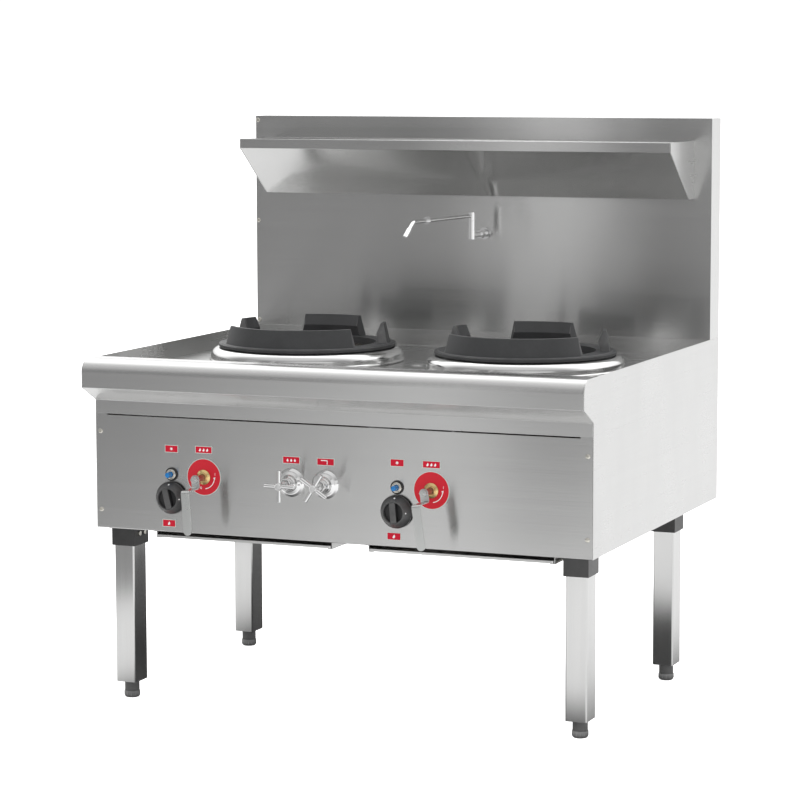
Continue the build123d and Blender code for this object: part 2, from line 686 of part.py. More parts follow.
with BuildPart() as splashback_rear_cover:
    with BuildSketch(facing_front(BACK_Y)):
        with Locations((0, (WORK_HEIGHT + HEIGHT) / 2)):
            Rectangle(WIDTH, SPLASH_HEIGHT)
    extrude(amount=SHEET)
save(splashback_rear_cover, "splashback_rear_cover")

SHELF_WIDTH = WIDTH - 2 * SHELF_INSET
SHELF_FRONT_Y = SPLASH_Y - SHELF_REACH
SHELF_LIP_Z = SHELF_TOP - SHELF_LIP
SLOPE_FOOT_Y = SPLASH_Y - SHELF_FOOT


def shelf_outline():
    """The shelf's section: flat top, front lip, sloping underside and short foot."""
    Polyline(
        (SPLASH_Y, SHELF_TOP),
        (SHELF_FRONT_Y, SHELF_TOP),
        (SHELF_FRONT_Y, SHELF_LIP_Z),
        (SLOPE_FOOT_Y, SHELF_FOOT_Z),
        (SPLASH_Y, SHELF_FOOT_Z),
        close=True,
    )


with BuildPart() as overshelf:
    with BuildSketch(facing_right(-SHELF_WIDTH / 2 + SHEET)):
        with BuildLine():
            shelf_outline()
        make_face()
        offset(amount=-SHEET, mode=Mode.SUBTRACT)
    extrude(amount=SHELF_WIDTH - 2 * SHEET)
save(overshelf, "overshelf")

with BuildPart() as shelf_end_plates:
    for end_x in (-SHELF_WIDTH / 2, SHELF_WIDTH / 2 - SHEET):
        with BuildSketch(facing_right(end_x)):
            with BuildLine():
                shelf_outline()
            make_face()
        extrude(amount=SHEET)
save(shelf_end_plates, "shelf_end_plates")

with BuildPart() as shelf_seam_strip:
    slope_run = SLOPE_FOOT_Y - SHELF_FRONT_Y
    slope_fall = SHELF_LIP_Z - SHELF_FOOT_Z
    slope = sqrt(slope_run**2 + slope_fall**2)
    slope_plane = Plane(
        origin=(SEAM_X, SHELF_FRONT_Y, SHELF_LIP_Z),
        x_dir=(1, 0, 0),
        z_dir=(0, -slope_fall, -slope_run),
    )
    with BuildSketch(slope_plane):
        with Locations((0, -slope / 2)):
            Rectangle(SEAM_WIDTH, slope - 4 * SHEET)
    extrude(amount=SEAM_THICK)
save(shelf_seam_strip, "shelf_seam_strip")

# ---------------------------------------------------------------- base frame, legs and feet
SIDE_RAIL_X = INNER_WIDTH / 2
CROSS_RAIL_LENGTH = INNER_WIDTH - 2 * SIDE_RAIL_FLANGE
CROSS_RAIL_YS = (
    PANEL_Y + SHEET + PANEL_LIP + RAIL / 2,
    REAR_LEG_Y,
    REAR_PANEL_Y - REAR_RAIL_GAP - RAIL / 2,
)

with BuildPart() as base_frame_side_rails:
    rail_front = PANEL_Y + SHEET + PANEL_LIP
    rail_length = REAR_PANEL_Y - rail_front
    for sign in (-1, 1):
        with BuildSketch(Plane.XY.offset(BODY_BOTTOM)):
            with Locations((sign * (SIDE_RAIL_X - SIDE_RAIL_FLANGE / 2), rail_front + rail_length / 2)):
                Rectangle(SIDE_RAIL_FLANGE, rail_length)
        extrude(amount=RAIL_WALL)
        with BuildSketch(Plane.XY.offset(BODY_BOTTOM)):
            with Locations((sign * (SIDE_RAIL_X - RAIL_WALL / 2), rail_front + rail_length / 2)):
                Rectangle(RAIL_WALL, rail_length)
        extrude(amount=RAIL)
save(base_frame_side_rails, "base_frame_side_rails")

with BuildPart() as base_frame_cross_rails:
    for rail_y in CROSS_RAIL_YS:
        with BuildSketch(Plane.XY.offset(BODY_BOTTOM)):
            with Locations((0, rail_y)):
                Rectangle(CROSS_RAIL_LENGTH, RAIL)
        extrude(amount=RAIL_WALL)
        with BuildSketch(Plane.XY.offset(BODY_BOTTOM)):
            with Locations((0, rail_y + RAIL / 2 - RAIL_WALL / 2)):
                Rectangle(CROSS_RAIL_LENGTH, RAIL_WALL)
        extrude(amount=RAIL)
save(base_frame_cross_rails, "base_frame_cross_rails")


def socket_bolt_places(leg_x, leg_y):
    """Bolt centres on the side of a leg socket that faces the middle, and that side's sign."""
    inward = -1 if leg_x > 0 else 1
    face_x = leg_x + inward * SOCKET / 2
    return inward, [(face_x, leg_y + dy, BOLT_Z) for dy in (-BOLT_SPREAD / 2, BOLT_SPREAD / 2)]


with BuildPart() as leg_sockets:
    for leg_x, leg_y in LEG_PLACES.values():
        with BuildSketch(Plane.XY.offset(BODY_BOTTOM - SOCKET_PLATE)):
            with Locations((leg_x, leg_y)):
                Rectangle(SOCKET, SOCKET_DEPTH + 2 * SOCKET_MARGIN)
        extrude(amount=SOCKET_PLATE)
        with BuildSketch(Plane.XY.offset(BODY_BOTTOM - SOCKET_DROP)):
            with Locations((leg_x, leg_y)):
                Rectangle(SOCKET, SOCKET_DEPTH)
                Rectangle(LEG, LEG_DEPTH, mode=Mode.SUBTRACT)
        extrude(amount=SOCKET_DROP - SOCKET_PLATE)
        inward, bolt_places = socket_bolt_places(leg_x, leg_y)
        for bolt_place in bolt_places:
            with BuildSketch(Plane(origin=bolt_place, z_dir=(-inward, 0, 0))):
                Circle(BOLT_RADIUS + RUNNING_GAP)
            extrude(amount=SOCKET_WALL, mode=Mode.SUBTRACT)
save(leg_sockets, "leg_sockets")

for place, (leg_x, leg_y) in LEG_PLACES.items():
    with BuildPart() as leg:
        leg_top = BODY_BOTTOM - SOCKET_PLATE
        with BuildSketch(Plane.XY.offset(LEG_BOTTOM)):
            with Locations((leg_x, leg_y)):
                RectangleRounded(LEG, LEG_DEPTH, LEG_ROUND)
                RectangleRounded(
                    LEG - 2 * LEG_WALL,
                    LEG_DEPTH - 2 * LEG_WALL,
                    LEG_ROUND - LEG_WALL,
                    mode=Mode.SUBTRACT,
                )
        extrude(amount=leg_top - LEG_BOTTOM)
        with BuildSketch(Plane.XY.offset(LEG_BOTTOM)):
            with Locations((leg_x, leg_y)):
                RectangleRounded(LEG - LEG_WALL, LEG_DEPTH - LEG_WALL, LEG_ROUND - LEG_WALL / 2)
        extrude(amount=PLUG_PLATE)
        with BuildSketch(Plane.XY.offset(LEG_BOTTOM - PLUG_SLEEVE)):
            with Locations((leg_x, leg_y)):
                Circle(PLUG_RADIUS)
        extrude(amount=PLUG_SLEEVE)
        with BuildSketch(Plane.XY.offset(LEG_BOTTOM - PLUG_SLEEVE)):
            with Locations((leg_x, leg_y)):
                Circle(FOOT_ROD_RADIUS + RUNNING_GAP)
        extrude(amount=PLUG_SLEEVE + PLUG_PLATE, mode=Mode.SUBTRACT)
        inward, bolt_places = socket_bolt_places(leg_x, leg_y)
        for bolt_place in bolt_places:
            with BuildSketch(Plane(origin=bolt_place, z_dir=(-inward, 0, 0))):
                Circle(BOLT_RADIUS + RUNNING_GAP)
            extrude(amount=SOCKET_WALL + LEG_WALL * 2, mode=Mode.SUBTRACT)
    save(leg, f"leg_{place}")

    with BuildPart() as levelling_foot:
        foot_plane = turned_about_z(leg_x, leg_y)
        foot_height = LEG_BOTTOM - PLUG_SLEEVE - SEAT_GAP
        rod_top = foot_height + PLUG_SLEEVE + PLUG_PLATE + FOOT_ROD_LENGTH
        with BuildSketch(foot_plane):
            with BuildLine():
                Polyline(
                    (0, 0),
                    (FOOT_RADIUS - FOOT_TREAD, 0),
                    (FOOT_RADIUS - FOOT_TREAD / 4, FOOT_ROUND / 2),
                    (FOOT_RADIUS, FOOT_ROUND),
                    (FOOT_RADIUS, foot_height),
                    (FOOT_ROD_RADIUS, foot_height),
                    (FOOT_ROD_RADIUS, rod_top),
                    (0, rod_top),
                    close=True,
                )
            make_face()
        revolve(axis=own_axis(foot_plane))
    save(levelling_foot, f"levelling_foot_{place}")

# ---------------------------------------------------------------- drip trays
RUNNER_BOTTOM = BODY_BOTTOM - RUNNER_DROP
TRAY_Z = RUNNER_BOTTOM + RUNNER_WALL + SEAT_GAP
RUNNER_LENGTH = CROSS_RAIL_YS[1] + RAIL / 2 - PANEL_Y - RUNNER_SETBACK
RUNNER_Y = PANEL_Y + RUNNER_SETBACK + RUNNER_LENGTH / 2

with BuildPart() as tray_runners:
    for tray_x in TRAY_CENTRES:
        for sign in (-1, 1):
            web_x = tray_x + sign * (TRAY_WIDTH / 2 + TRAY_GAP + RUNNER_WALL / 2)
            ledge_x = web_x - sign * (RUNNER_LEDGE - RUNNER_WALL) / 2
            flange_x = web_x + sign * (RUNNER_FLANGE - RUNNER_WALL) / 2
            with BuildSketch(Plane.XY.offset(RUNNER_BOTTOM)):
                with Locations((ledge_x, RUNNER_Y)):
                    Rectangle(RUNNER_LEDGE, RUNNER_LENGTH)
            extrude(amount=RUNNER_WALL)
            with BuildSketch(Plane.XY.offset(RUNNER_BOTTOM)):
                with Locations((web_x, RUNNER_Y)):
                    Rectangle(RUNNER_WALL, RUNNER_LENGTH)
            extrude(amount=RUNNER_DROP)
            with BuildSketch(Plane.XY.offset(BODY_BOTTOM - RUNNER_WALL)):
                with Locations((flange_x, RUNNER_Y)):
                    Rectangle(RUNNER_FLANGE, RUNNER_LENGTH)
            extrude(amount=RUNNER_WALL)
save(tray_runners, "tray_runners")

for side, tray_x in zip(SIDES, TRAY_CENTRES):
    with BuildPart() as drip_tray:
        tray_y = PANEL_Y + TRAY_SETBACK + TRAY_LENGTH / 2
        with BuildSketch(Plane.XY.offset(TRAY_Z)):
            with Locations((tray_x, tray_y)):
                RectangleRounded(TRAY_WIDTH, TRAY_LENGTH, 3)
        extrude(amount=TRAY_HEIGHT)
        with BuildSketch(Plane.XY.offset(TRAY_Z + TRAY_SHEET)):
            with Locations((tray_x, tray_y)):
                RectangleRounded(TRAY_WIDTH - 2 * TRAY_SHEET, TRAY_LENGTH - 2 * TRAY_SHEET, 2)
        extrude(amount=TRAY_HEIGHT, mode=Mode.SUBTRACT)
    save(drip_tray, f"drip_tray_{side}")

# ---------------------------------------------------------------- gas pipework and valves
def union_end(x, z, radius):
    """Turn down the end of a pipe stub behind the rear panel."""
    with BuildSketch(facing_front(STUB_Y)) as waste:
        with Locations((x, z)):
            Circle(radius + UNION_STEP)
            Circle(radius - UNION_STEP, mode=Mode.SUBTRACT)
    extrude(waste.sketch, amount=UNION_LENGTH, mode=Mode.SUBTRACT)


with BuildPart() as gas_manifold:
    with BuildLine():
        manifold_path = FilletPolyline(
            (MANIFOLD_END, MANIFOLD_Y, PILOT_Z),
            (GAS_INLET_X, MANIFOLD_Y, PILOT_Z),
            (GAS_INLET_X, STUB_Y, PILOT_Z),
            radius=MANIFOLD_BEND,
        )
    with BuildSketch(facing_right(MANIFOLD_END)):
        with Locations((MANIFOLD_Y, PILOT_Z)):
            Circle(MANIFOLD_RADIUS)
            Circle(MANIFOLD_RADIUS - MANIFOLD_WALL, mode=Mode.SUBTRACT)
    sweep(path=manifold_path)
    with BuildSketch(facing_right(MANIFOLD_END)):
        with Locations((MANIFOLD_Y, PILOT_Z)):
            Circle(MANIFOLD_RADIUS)
    extrude(amount=MANIFOLD_WALL * 2)
    union_end(GAS_INLET_X, PILOT_Z, MANIFOLD_RADIUS)
save(gas_manifold, "gas_manifold")


def tube(points, radius, bend):
    """A round tube, as a solid rod, along straight runs joined by arcs."""
    with BuildLine():
        path = FilletPolyline(*points, radius=bend)
    with BuildSketch(Plane(origin=points[0], z_dir=path % 0)) as section:
        Circle(radius)
    sweep(section.sketch, path=path)


PILOT_DROP = PILOT_Z - PILOT_VALVE_RADIUS
PILOT_OUTLET_Y = PANEL_Y + PILOT_OUTLET_DEPTH

with BuildPart() as burner_gas_tubes:
    for burner_x, valve_x, pilot_x in zip(BURNER_XS, VALVE_XS, PILOT_XS):
        tube(
            [
                (valve_x, PANEL_Y + MAIN_VALVE_DEPTH, VALVE_Z),
                (valve_x, PANEL_Y + FEED_DEPTH, VALVE_Z),
                (valve_x, PANEL_Y + FEED_DEPTH, FEED_Z),
                (burner_x, BURNER_Y, FEED_Z),
                (burner_x, BURNER_Y, CHAMBER_BOTTOM - HEAD_NECK),
            ],
            FEED_RADIUS,
            FEED_RADIUS * 2,
        )
        port_x = burner_x + PILOT_PORT_SHIFT
        port_y = PANEL_Y + FEED_DEPTH + 2 * FEED_RADIUS
        tube(
            [
                (pilot_x, PILOT_OUTLET_Y, PILOT_DROP),
                (pilot_x, PILOT_OUTLET_Y, FEED_Z),
                (pilot_x, PANEL_Y + FEED_DEPTH - 2 * MANIFOLD_RADIUS, FEED_Z),
                (port_x, port_y, FEED_Z),
                (port_x, port_y, PILOT_PORT_Z),
                (port_x, BURNER_Y - HEAD_RADIUS, PILOT_PORT_Z),
            ],
            PILOT_TUBE_RADIUS,
            PILOT_TUBE_RADIUS * 3,
        )
save(burner_gas_tubes, "burner_gas_tubes")


def manifold_cutter():
    """Take the manifold's outside away from a valve that is saddled on it."""
    with BuildSketch(facing_right(MANIFOLD_END)) as section:
        with Locations((MANIFOLD_Y, PILOT_Z)):
            Circle(MANIFOLD_RADIUS)
    extrude(section.sketch, amount=GAS_INLET_X - MANIFOLD_END, mode=Mode.SUBTRACT)


for side, valve_x, lean in zip(SIDES, VALVE_XS, LEVER_LEANS):
    valve_plane = turned_about_y(valve_x, VALVE_Z)
    gland_front = LABEL_THICK + GLAND_LENGTH

    with BuildPart() as main_valve_body:
        with BuildSketch(valve_plane):
            with BuildLine():
                Polyline(
                    (STEM_BORE_RADIUS + RUNNING_GAP, gland_front),
                    (GLAND_RADIUS - GLAND_TAPER[0], gland_front),
                    (GLAND_RADIUS, gland_front - GLAND_TAPER[1]),
                    (GLAND_RADIUS, LABEL_THICK),
                    (GLAND_NECK_RADIUS, LABEL_THICK),
                    (GLAND_NECK_RADIUS, -SHEET),
                    (GLAND_RADIUS, -SHEET),
                    (GLAND_RADIUS, -MAIN_VALVE_DEPTH),
                    (0, -MAIN_VALVE_DEPTH),
                    (0, -STEM_DEPTH - 1),
                    (STEM_BORE_RADIUS + RUNNING_GAP, -STEM_DEPTH - 1),
                    close=True,
                )
            make_face()
        revolve(axis=own_axis(valve_plane))
        with BuildSketch(Plane.XY.offset(PILOT_Z)):
            with Locations((valve_x, MANIFOLD_Y)):
                Circle(FEED_RADIUS)
        extrude(amount=VALVE_Z - PILOT_Z)
        manifold_cutter()
    save(main_valve_body, f"main_valve_body_{side}")

    with BuildPart() as valve_stem:
        with BuildSketch(valve_plane):
            with BuildLine():
                Polyline(
                    (0, -STEM_DEPTH),
                    (STEM_BORE_RADIUS, -STEM_DEPTH),
                    (STEM_BORE_RADIUS, gland_front + SEAT_GAP),
                    (STEM_RADIUS, gland_front + SEAT_GAP),
                    (STEM_RADIUS, LEVER_TAB_REACH - LEVER_THICK),
                    (TIP_RADIUS, LEVER_TAB_REACH - LEVER_THICK),
                    (TIP_RADIUS, LEVER_TAB_REACH + TIP_NUT_LENGTH),
                    (0, LEVER_TAB_REACH + TIP_NUT_LENGTH),
                    close=True,
                )
            make_face()
        revolve(axis=own_axis(valve_plane))
        with BuildSketch(facing_front(PANEL_Y - LEVER_TAB_REACH)):
            with Locations((valve_x, VALVE_Z)):
                RegularPolygon(TIP_NUT / 2, 6, major_radius=False)
        extrude(amount=TIP_NUT_LENGTH)
    save(valve_stem, f"valve_stem_{side}")

    with BuildPart() as valve_lever:
        across = (cos(radians(lean)), 0, sin(radians(lean)))
        down = Plane(origin=(valve_x, PANEL_Y, VALVE_Z), x_dir=across, z_dir=(0, -1, 0))
        tab = down.offset(LEVER_TAB_REACH)
        handle = down.offset(LEVER_REACH)
        with BuildSketch(tab):
            with Locations((0, (LEVER_HEAD - LEVER_DROP - LEVER_THICK) / 2)):
                Rectangle(LEVER_WIDTH, LEVER_HEAD + LEVER_DROP + LEVER_THICK)
            Circle(TIP_RADIUS, mode=Mode.SUBTRACT)
        extrude(amount=-LEVER_THICK)
        with BuildSketch(tab):
            with Locations((0, -LEVER_DROP - LEVER_THICK / 2)):
                Rectangle(LEVER_WIDTH, LEVER_THICK)
        extrude(amount=LEVER_RUN)
        with BuildSketch(handle):
            round_end = LEVER_HANG - LEVER_WIDTH / 2
            with Locations((0, -(LEVER_DROP + round_end) / 2)):
                Rectangle(LEVER_WIDTH, round_end - LEVER_DROP)
            with Locations((0, -round_end)):
                Circle(LEVER_WIDTH / 2)
        extrude(amount=-LEVER_THICK)
    save(valve_lever, f"valve_lever_{side}")

# ---------------------------------------------------------------- pilot valves and igniters
KNOB_FACE = KNOB_BACK + KNOB_BODY
KNOB_FRONT = KNOB_FACE + KNOB_BAR_RISE
KNOB_BORE_END = KNOB_FRONT - KNOB_CAP
SPINDLE_REACH = KNOB_BORE_END - KNOB_TRAVEL - HOLE_GAP
SPINDLE_BORE = SPINDLE_RADIUS + RUNNING_GAP

with BuildPart() as pilot_valve_bodies:
    for pilot_x in PILOT_XS:
        pilot_plane = turned_about_y(pilot_x, PILOT_Z)
        with BuildSketch(pilot_plane):
            with BuildLine():
                Polyline(
                    (SPINDLE_BORE, SHEET),
                    (PILOT_NECK_RADIUS, SHEET),
                    (PILOT_NECK_RADIUS, -SHEET),
                    (PILOT_VALVE_RADIUS, -SHEET),
                    (PILOT_VALVE_RADIUS, -MANIFOLD_DEPTH + MANIFOLD_RADIUS / 2),
                    (0, -MANIFOLD_DEPTH + MANIFOLD_RADIUS / 2),
                    (0, -SPINDLE_DEPTH - 1),
                    (SPINDLE_BORE, -SPINDLE_DEPTH - 1),
                    close=True,
                )
            make_face()
        revolve(axis=own_axis(pilot_plane))
    manifold_cutter()
save(pilot_valve_bodies, "pilot_valve_bodies")

for side, pilot_x, turn in zip(SIDES, PILOT_XS, KNOB_TURNS):
    pilot_plane = turned_about_y(pilot_x, PILOT_Z)

    with BuildPart() as pilot_spindle:
        with BuildSketch(facing_front(PANEL_Y + SPINDLE_DEPTH)):
            with Locations((pilot_x, PILOT_Z)):
                Circle(SPINDLE_RADIUS)
        extrude(amount=SPINDLE_DEPTH + SPINDLE_REACH)
    save(pilot_spindle, f"pilot_spindle_{side}")

    with BuildPart() as pilot_knob:
        skirt_front = KNOB_BACK + KNOB_SKIRT
        dish = KNOB_FACE - KNOB_DISH
        with BuildSketch(pilot_plane):
            with BuildLine():
                Polyline(
                    (SPINDLE_BORE, KNOB_BACK),
                    (KNOB_RADIUS, KNOB_BACK),
                    (KNOB_RADIUS, skirt_front),
                    (KNOB_FACE_RADIUS, KNOB_FACE),
                    (KNOB_FACE_RADIUS - KNOB_RIM, KNOB_FACE),
                    (KNOB_FACE_RADIUS - 2 * KNOB_RIM, dish),
                    (0, dish),
                    (0, skirt_front),
                    (SPINDLE_BORE, skirt_front),
                    close=True,
                )
            make_face()
        revolve(axis=own_axis(pilot_plane))
        with BuildSketch(facing_front(PANEL_Y - skirt_front)):
            with Locations((pilot_x, PILOT_Z)):
                SlotOverall(2 * KNOB_FACE_RADIUS - KNOB_RIM, KNOB_BAR, rotation=90 + turn)
        extrude(amount=KNOB_FRONT - skirt_front)
        chamfer(pilot_knob.faces().sort_by(Axis.Y)[0].edges(), KNOB_BEVEL)
        with BuildSketch(facing_front(PANEL_Y)):
            with Locations((pilot_x, PILOT_Z)):
                Circle(SPINDLE_BORE)
        extrude(amount=KNOB_BORE_END, mode=Mode.SUBTRACT)
    save(pilot_knob, f"pilot_knob_{side}")

    with BuildPart() as igniter_button:
        with BuildSketch(facing_front(PANEL_Y + BUTTON_DEPTH)):
            with Locations((pilot_x, IGNITER_Z)):
                Circle(BUTTON_RADIUS)
        extrude(amount=BUTTON_DEPTH + BUTTON_REACH)
        chamfer(igniter_button.faces().sort_by(Axis.Y)[0].edges(), BUTTON_BEVEL)
    save(igniter_button, f"igniter_button_{side}")

with BuildPart() as igniter_housings:
    button_bore = BUTTON_RADIUS + RUNNING_GAP
    button_floor = BUTTON_DEPTH + BUTTON_TRAVEL + HOLE_GAP
    for pilot_x in PILOT_XS:
        igniter_plane = turned_about_y(pilot_x, IGNITER_Z)
        with BuildSketch(igniter_plane):
            with BuildLine():
                Polyline(
                    (button_bore, IGNITER_NUT_REACH),
                    (IGNITER_NUT_RADIUS, IGNITER_NUT_REACH),
                    (IGNITER_NUT_RADIUS, BEZEL_THICK),
                    (BEZEL_RADIUS, BEZEL_THICK),
                    (BEZEL_RADIUS, 0),
                    (IGNITER_NECK_RADIUS, 0),
                    (IGNITER_NECK_RADIUS, -SHEET),
                    (IGNITER_NUT_RADIUS, -SHEET),
                    (IGNITER_NUT_RADIUS, -IGNITER_LENGTH),
                    (0, -IGNITER_LENGTH),
                    (0, -button_floor),
                    (button_bore, -button_floor),
                    close=True,
                )
            make_face()
        revolve(axis=own_axis(igniter_plane))
save(igniter_housings, "igniter_housings")

# ---------------------------------------------------------------- water taps and pipes
TAP_BOSS_Z = TAP_Z + TAP_VALVE_RADIUS + 2 * SHEET
TAP_OUTLET_Y = PANEL_Y + WATER_DEPTH / 2
TAP_ARM_OUT = TAP_REACH - TAP_ARM_INSET

with BuildPart() as water_valve_bodies:
    tap_bore = TAP_SPINDLE_RADIUS + RUNNING_GAP
    for tap_x in TAP_XS:
        tap_plane = turned_about_y(tap_x, TAP_Z)
        with BuildSketch(tap_plane):
            with BuildLine():
                Polyline(
                    (tap_bore, TAP_NECK_REACH),
                    (TAP_NECK_RADIUS, TAP_NECK_REACH),
                    (TAP_NECK_RADIUS, -SHEET),
                    (TAP_VALVE_RADIUS, -SHEET),
                    (TAP_VALVE_RADIUS, -WATER_DEPTH),
                    (0, -WATER_DEPTH),
                    (0, -TAP_SPINDLE_DEPTH - 1),
                    (tap_bore, -TAP_SPINDLE_DEPTH - 1),
                    close=True,
                )
            make_face()
        revolve(axis=own_axis(tap_plane))
    with BuildSketch(Plane.XY.offset(TAP_BOSS_Z)):
        with Locations(*[(x, TAP_OUTLET_Y) for x in TAP_XS]):
            Circle(TAP_BOSS_RADIUS)
    extrude(amount=-TAP_VALVE_RADIUS)
    with BuildSketch(facing_right(TAP_XS[0] - TAP_VALVE_RADIUS)):
        with Locations((WATER_Y, TAP_Z)):
            Circle(WATER_RADIUS)
    extrude(amount=WATER_INLET_X - TAP_XS[0] + TAP_VALVE_RADIUS, mode=Mode.SUBTRACT)
save(water_valve_bodies, "water_valve_bodies")

with BuildPart() as tap_escutcheons:
    for tap_x in TAP_XS:
        tap_plane = turned_about_y(tap_x, TAP_Z)
        with BuildSketch(tap_plane):
            with BuildLine():
                Polyline(
                    (TAP_NECK_RADIUS + SEAT_GAP, 0),
                    (ESCUTCHEON_RADIUS, 0),
                    *[(ESCUTCHEON_RADIUS - inset, reach) for inset, reach in ESCUTCHEON_STEPS],
                    (BONNET_RADIUS, BONNET_FOOT),
                    (BONNET_RADIUS, TAP_NECK_REACH),
                    (TAP_NECK_RADIUS + SEAT_GAP, TAP_NECK_REACH),
                    close=True,
                )
            make_face()
        revolve(axis=own_axis(tap_plane))
save(tap_escutcheons, "tap_escutcheons")

for label, tap_x, turn in zip(("tap_handle_tank", "tap_handle_faucet"), TAP_XS, TAP_TURNS):
    with BuildPart() as tap_handle:
        tap_plane = turned_about_y(tap_x, TAP_Z)
        with BuildSketch(tap_plane):
            with BuildLine():
                Polyline(
                    (0, -TAP_SPINDLE_DEPTH),
                    (TAP_SPINDLE_RADIUS, -TAP_SPINDLE_DEPTH),
                    (TAP_SPINDLE_RADIUS, TAP_NECK_REACH + SEAT_GAP),
                    (TAP_NECK_RADIUS, TAP_NECK_REACH + SEAT_GAP),
                    (TAP_HUB_RADIUS, TAP_ARM_OUT - 2 * TAP_ARM_RADIUS),
                    (TAP_HUB_RADIUS, TAP_REACH - TAP_CAP_BEVEL),
                    (TAP_HUB_RADIUS - TAP_CAP_BEVEL, TAP_REACH),
                    (0, TAP_REACH),
                    close=True,
                )
            make_face()
        revolve(axis=own_axis(tap_plane))
        for arm_angle in range(0, 360, 90):
            spin = radians(arm_angle - turn)
            arm_plane = Plane(
                origin=(tap_x, PANEL_Y - TAP_ARM_OUT, TAP_Z), z_dir=(cos(spin), 0, sin(spin))
            )
            with BuildSketch(arm_plane):
                Circle(TAP_ARM_RADIUS)
            extrude(amount=TAP_ARM)
    save(tap_handle, label)

with BuildPart() as water_pipes:
    tube(
        [
            (TAP_XS[0] - TAP_VALVE_RADIUS, WATER_Y, TAP_Z),
            (WATER_INLET_X, WATER_Y, TAP_Z),
            (WATER_INLET_X, STUB_Y, TAP_Z),
        ],
        WATER_RADIUS,
        WATER_RADIUS * 2,
    )
    turn_y = PANEL_Y + FEED_DEPTH
    tube(
        [
            (TAP_XS[0], TAP_OUTLET_Y, TAP_BOSS_Z),
            (TAP_XS[0], TAP_OUTLET_Y, RISER_Z),
            (TANK_PIPE_X, turn_y, RISER_Z),
            (TANK_PIPE_X, STUB_Y, RISER_Z),
        ],
        RISER_RADIUS,
        RISER_RADIUS * 2,
    )
    tube(
        [
            (TAP_XS[1], TAP_OUTLET_Y, TAP_BOSS_Z),
            (TAP_XS[1], TAP_OUTLET_Y, RISER_Z),
            (RISER_X, turn_y, RISER_Z),
            (RISER_X, BACK_Y - RISER_INSET - RISER_RETURN, RISER_Z),
            (FAUCET_X, BACK_Y - RISER_INSET, RISER_Z),
            (FAUCET_X, BACK_Y - RISER_INSET, FAUCET_Z),
            (FAUCET_X, SPLASH_Y, FAUCET_Z),
        ],
        RISER_RADIUS,
        RISER_RADIUS * 2,
    )
    union_end(WATER_INLET_X, TAP_Z, WATER_RADIUS)
    union_end(TANK_PIPE_X, RISER_Z, RISER_RADIUS)
save(water_pipes, "water_pipes")

# ---------------------------------------------------------------- faucet
FAUCET_FOOT = FAUCET_Z - FAUCET_BELOW
FAUCET_SWIVEL = FAUCET_Z + FAUCET_ABOVE
SPOUT_Z = FAUCET_SWIVEL + SPOUT_UP

with BuildPart() as faucet_body:
    with BuildSketch(facing_front(SPLASH_Y)):
        with Locations((FAUCET_X, FAUCET_Z)):
            Circle(FAUCET_FLANGE[0])
    extrude(amount=FAUCET_FLANGE[1])
    with BuildSketch(facing_front(SPLASH_Y)):
        with Locations((FAUCET_X, FAUCET_Z)):
            Circle(RISER_RADIUS)
    extrude(amount=FAUCET_STAND)
    with BuildSketch(facing_front(SPLASH_Y - FAUCET_NUT_OUT)):
        with Locations((FAUCET_X, FAUCET_Z)):
            RegularPolygon(FAUCET_NUT[0], 6)
    extrude(amount=FAUCET_NUT[1])
    with BuildSketch(Plane.XY.offset(FAUCET_FOOT)):
        with Locations((FAUCET_X, FAUCET_Y)):
            Circle(FAUCET_RADIUS)
    extrude(amount=FAUCET_SWIVEL - FAUCET_FOOT)
    with BuildSketch(Plane.XY.offset(FAUCET_SWIVEL)):
        with Locations((FAUCET_X, FAUCET_Y)):
            Circle(SWIVEL_PIN_RADIUS)
    extrude(amount=SWIVEL_PIN)
save(faucet_body, "faucet_body")

with BuildPart() as faucet_spout:
    heading = radians(-90 - SPOUT_TURN)
    arm_dir = Vector(cos(heading), sin(heading), 0)
    swivel = Vector(FAUCET_X, FAUCET_Y, 0)
    with BuildSketch(Plane.XY.offset(FAUCET_SWIVEL + SEAT_GAP)):
        with Locations((FAUCET_X, FAUCET_Y)):
            Circle(FAUCET_RADIUS)
    extrude(amount=SPOUT_HUB - SEAT_GAP)
    bend = swivel + arm_dir * SPOUT_LENGTH + Vector(0, 0, SPOUT_Z)
    tip = bend + arm_dir * OUTLET_RUN - Vector(0, 0, OUTLET_DROP)
    tube([(FAUCET_X, FAUCET_Y, SPOUT_Z), tuple(bend), tuple(tip)], SPOUT_RADIUS, SPOUT_BEND)
    hook_plane = Plane(
        origin=swivel + arm_dir * SPOUT_HOOK + Vector(0, 0, SPOUT_Z), z_dir=arm_dir
    )
    with BuildSketch(hook_plane):
        Circle(HOOK_RADIUS)
    extrude(amount=HOOK_THICK)
    outlet_plane = Plane(origin=tip, z_dir=bend - tip)
    with BuildSketch(outlet_plane):
        Circle(OUTLET_RADIUS)
    extrude(amount=OUTLET_LENGTH)
    with BuildSketch(outlet_plane):
        Circle(SPOUT_RADIUS)
    extrude(amount=OUTLET_BORE, mode=Mode.SUBTRACT)
    with BuildSketch(Plane.XY.offset(FAUCET_SWIVEL)):
        with Locations((FAUCET_X, FAUCET_Y)):
            Circle(SWIVEL_PIN_RADIUS + RUNNING_GAP)
    extrude(amount=SWIVEL_PIN + 1, mode=Mode.SUBTRACT)
save(faucet_spout, "faucet_spout")

